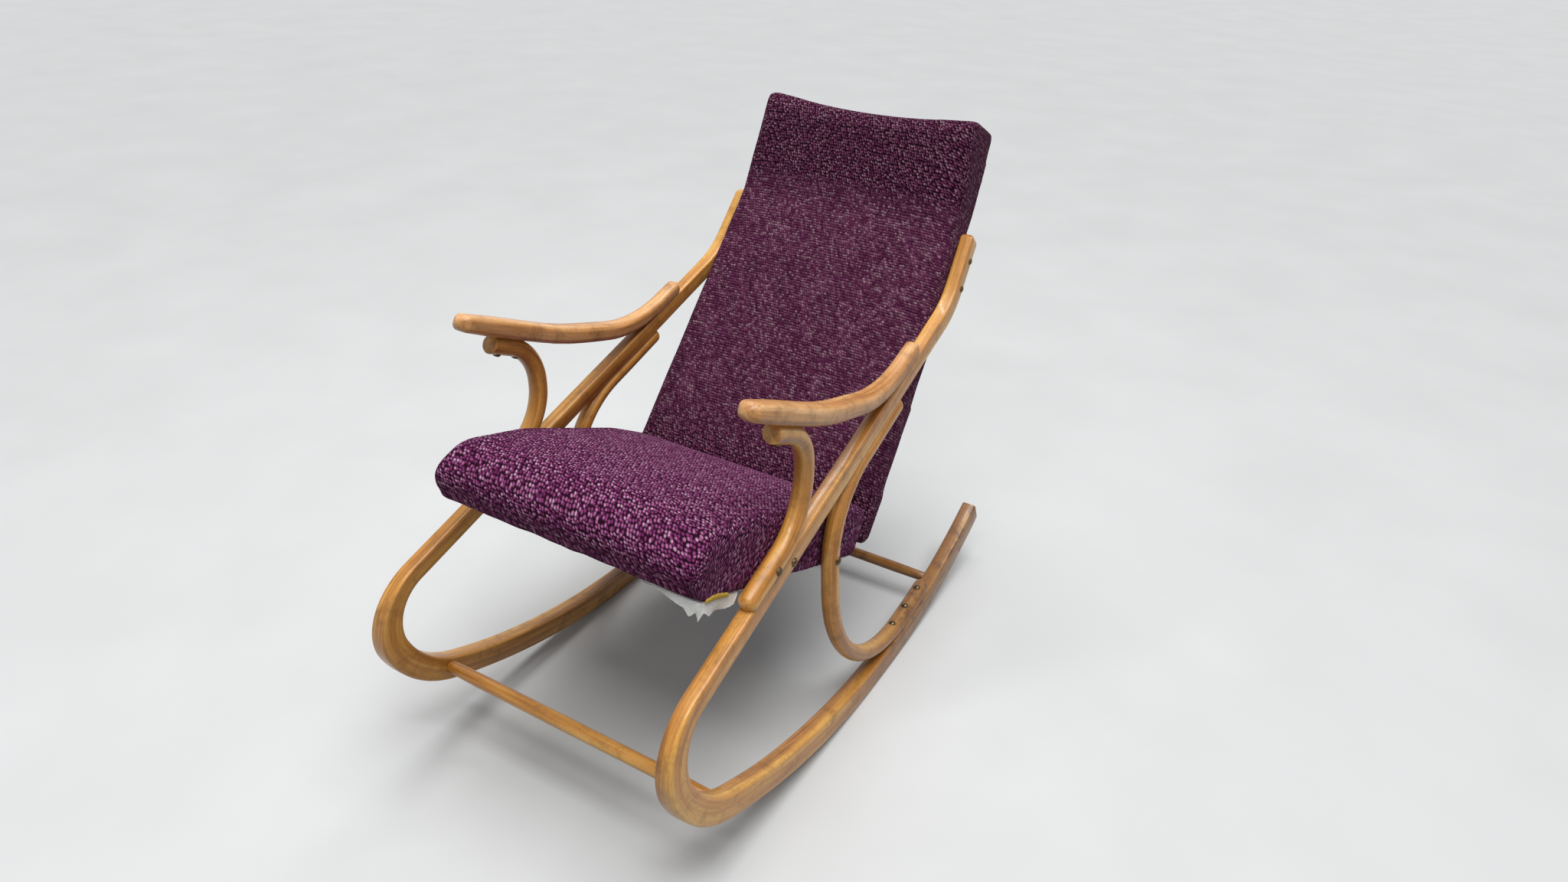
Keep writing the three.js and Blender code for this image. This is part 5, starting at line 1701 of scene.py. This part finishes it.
# %% [markdown]
# A plain pale floor and soft light. The room in the photograph has lamps in the ceiling,
# so most light comes from above, and two narrow lamps leave sharp glints on the varnish.
# The floor looks pale to the camera and in the varnish's reflections, and throws back less
# light on the chair's undersides.

# %% Floor and light
FLOOR_SIZE = 60.0
SKY_LIGHT = 0.25
SKY_SEEN = 0.8
CEILING_POWER = 2.8
CEILING_ANGLE = math.radians(45)
CHAIR_MIDDLE = (0, 0, 0.45)
pick()
bpy.ops.mesh.primitive_plane_add(size=FLOOR_SIZE)
floor = name_piece(bpy.context.object, "floor")
tree = new_finish("pale floor")
mottle = noise_at(tree, own_place(tree), 3.0, 3.0)
tone = coloured(tree, mottle, ((0.3, "#c8c9c9"), (0.7, "#cdcece")))
shown = mixed(tree, seen_directly(tree), linear("#8c8c8c"), tone)
give(floor, surfaced(tree, {"Base Color": shown, "Roughness": 0.8}))

world = bpy.data.worlds.new("studio")
bpy.context.scene.world = world
world.use_nodes = True
tree = world.node_tree
tree.nodes.clear()
brightness = ranged(tree, seen_directly(tree), to_low=SKY_LIGHT, to_high=SKY_SEEN)
sky = add(tree, "ShaderNodeBackground", {"Color": linear("#f1f3f6"), "Strength": brightness})
add(tree, "ShaderNodeOutputWorld", {"Surface": sky.outputs[0]})


def hang(name, lamp, place, aim):
    stand = bpy.data.objects.new(name, lamp)
    bpy.context.scene.collection.objects.link(stand)
    stand.location = place
    stand.rotation_euler = (Vector(aim) - Vector(place)).to_track_quat("-Z", "Y").to_euler()


ceiling = bpy.data.lights.new("soft ceiling light", "SUN")
ceiling.energy = CEILING_POWER
ceiling.angle = CEILING_ANGLE
hang("soft ceiling light", ceiling, (0.5, 0.1, 3.0), (0, 0, 0))
for name, place, power in (
    ("ceiling tube front", (0.5, -1.3, 2.5), 14),
    ("ceiling tube rear", (-0.6, 0.6, 2.5), 10),
):
    tube = bpy.data.lights.new(name, "AREA")
    tube.shape = "RECTANGLE"
    tube.size, tube.size_y = 1.2, 0.16
    tube.energy = power
    hang(name, tube, place, CHAIR_MIDDLE)

bpy.context.scene.view_settings.view_transform = "Standard"
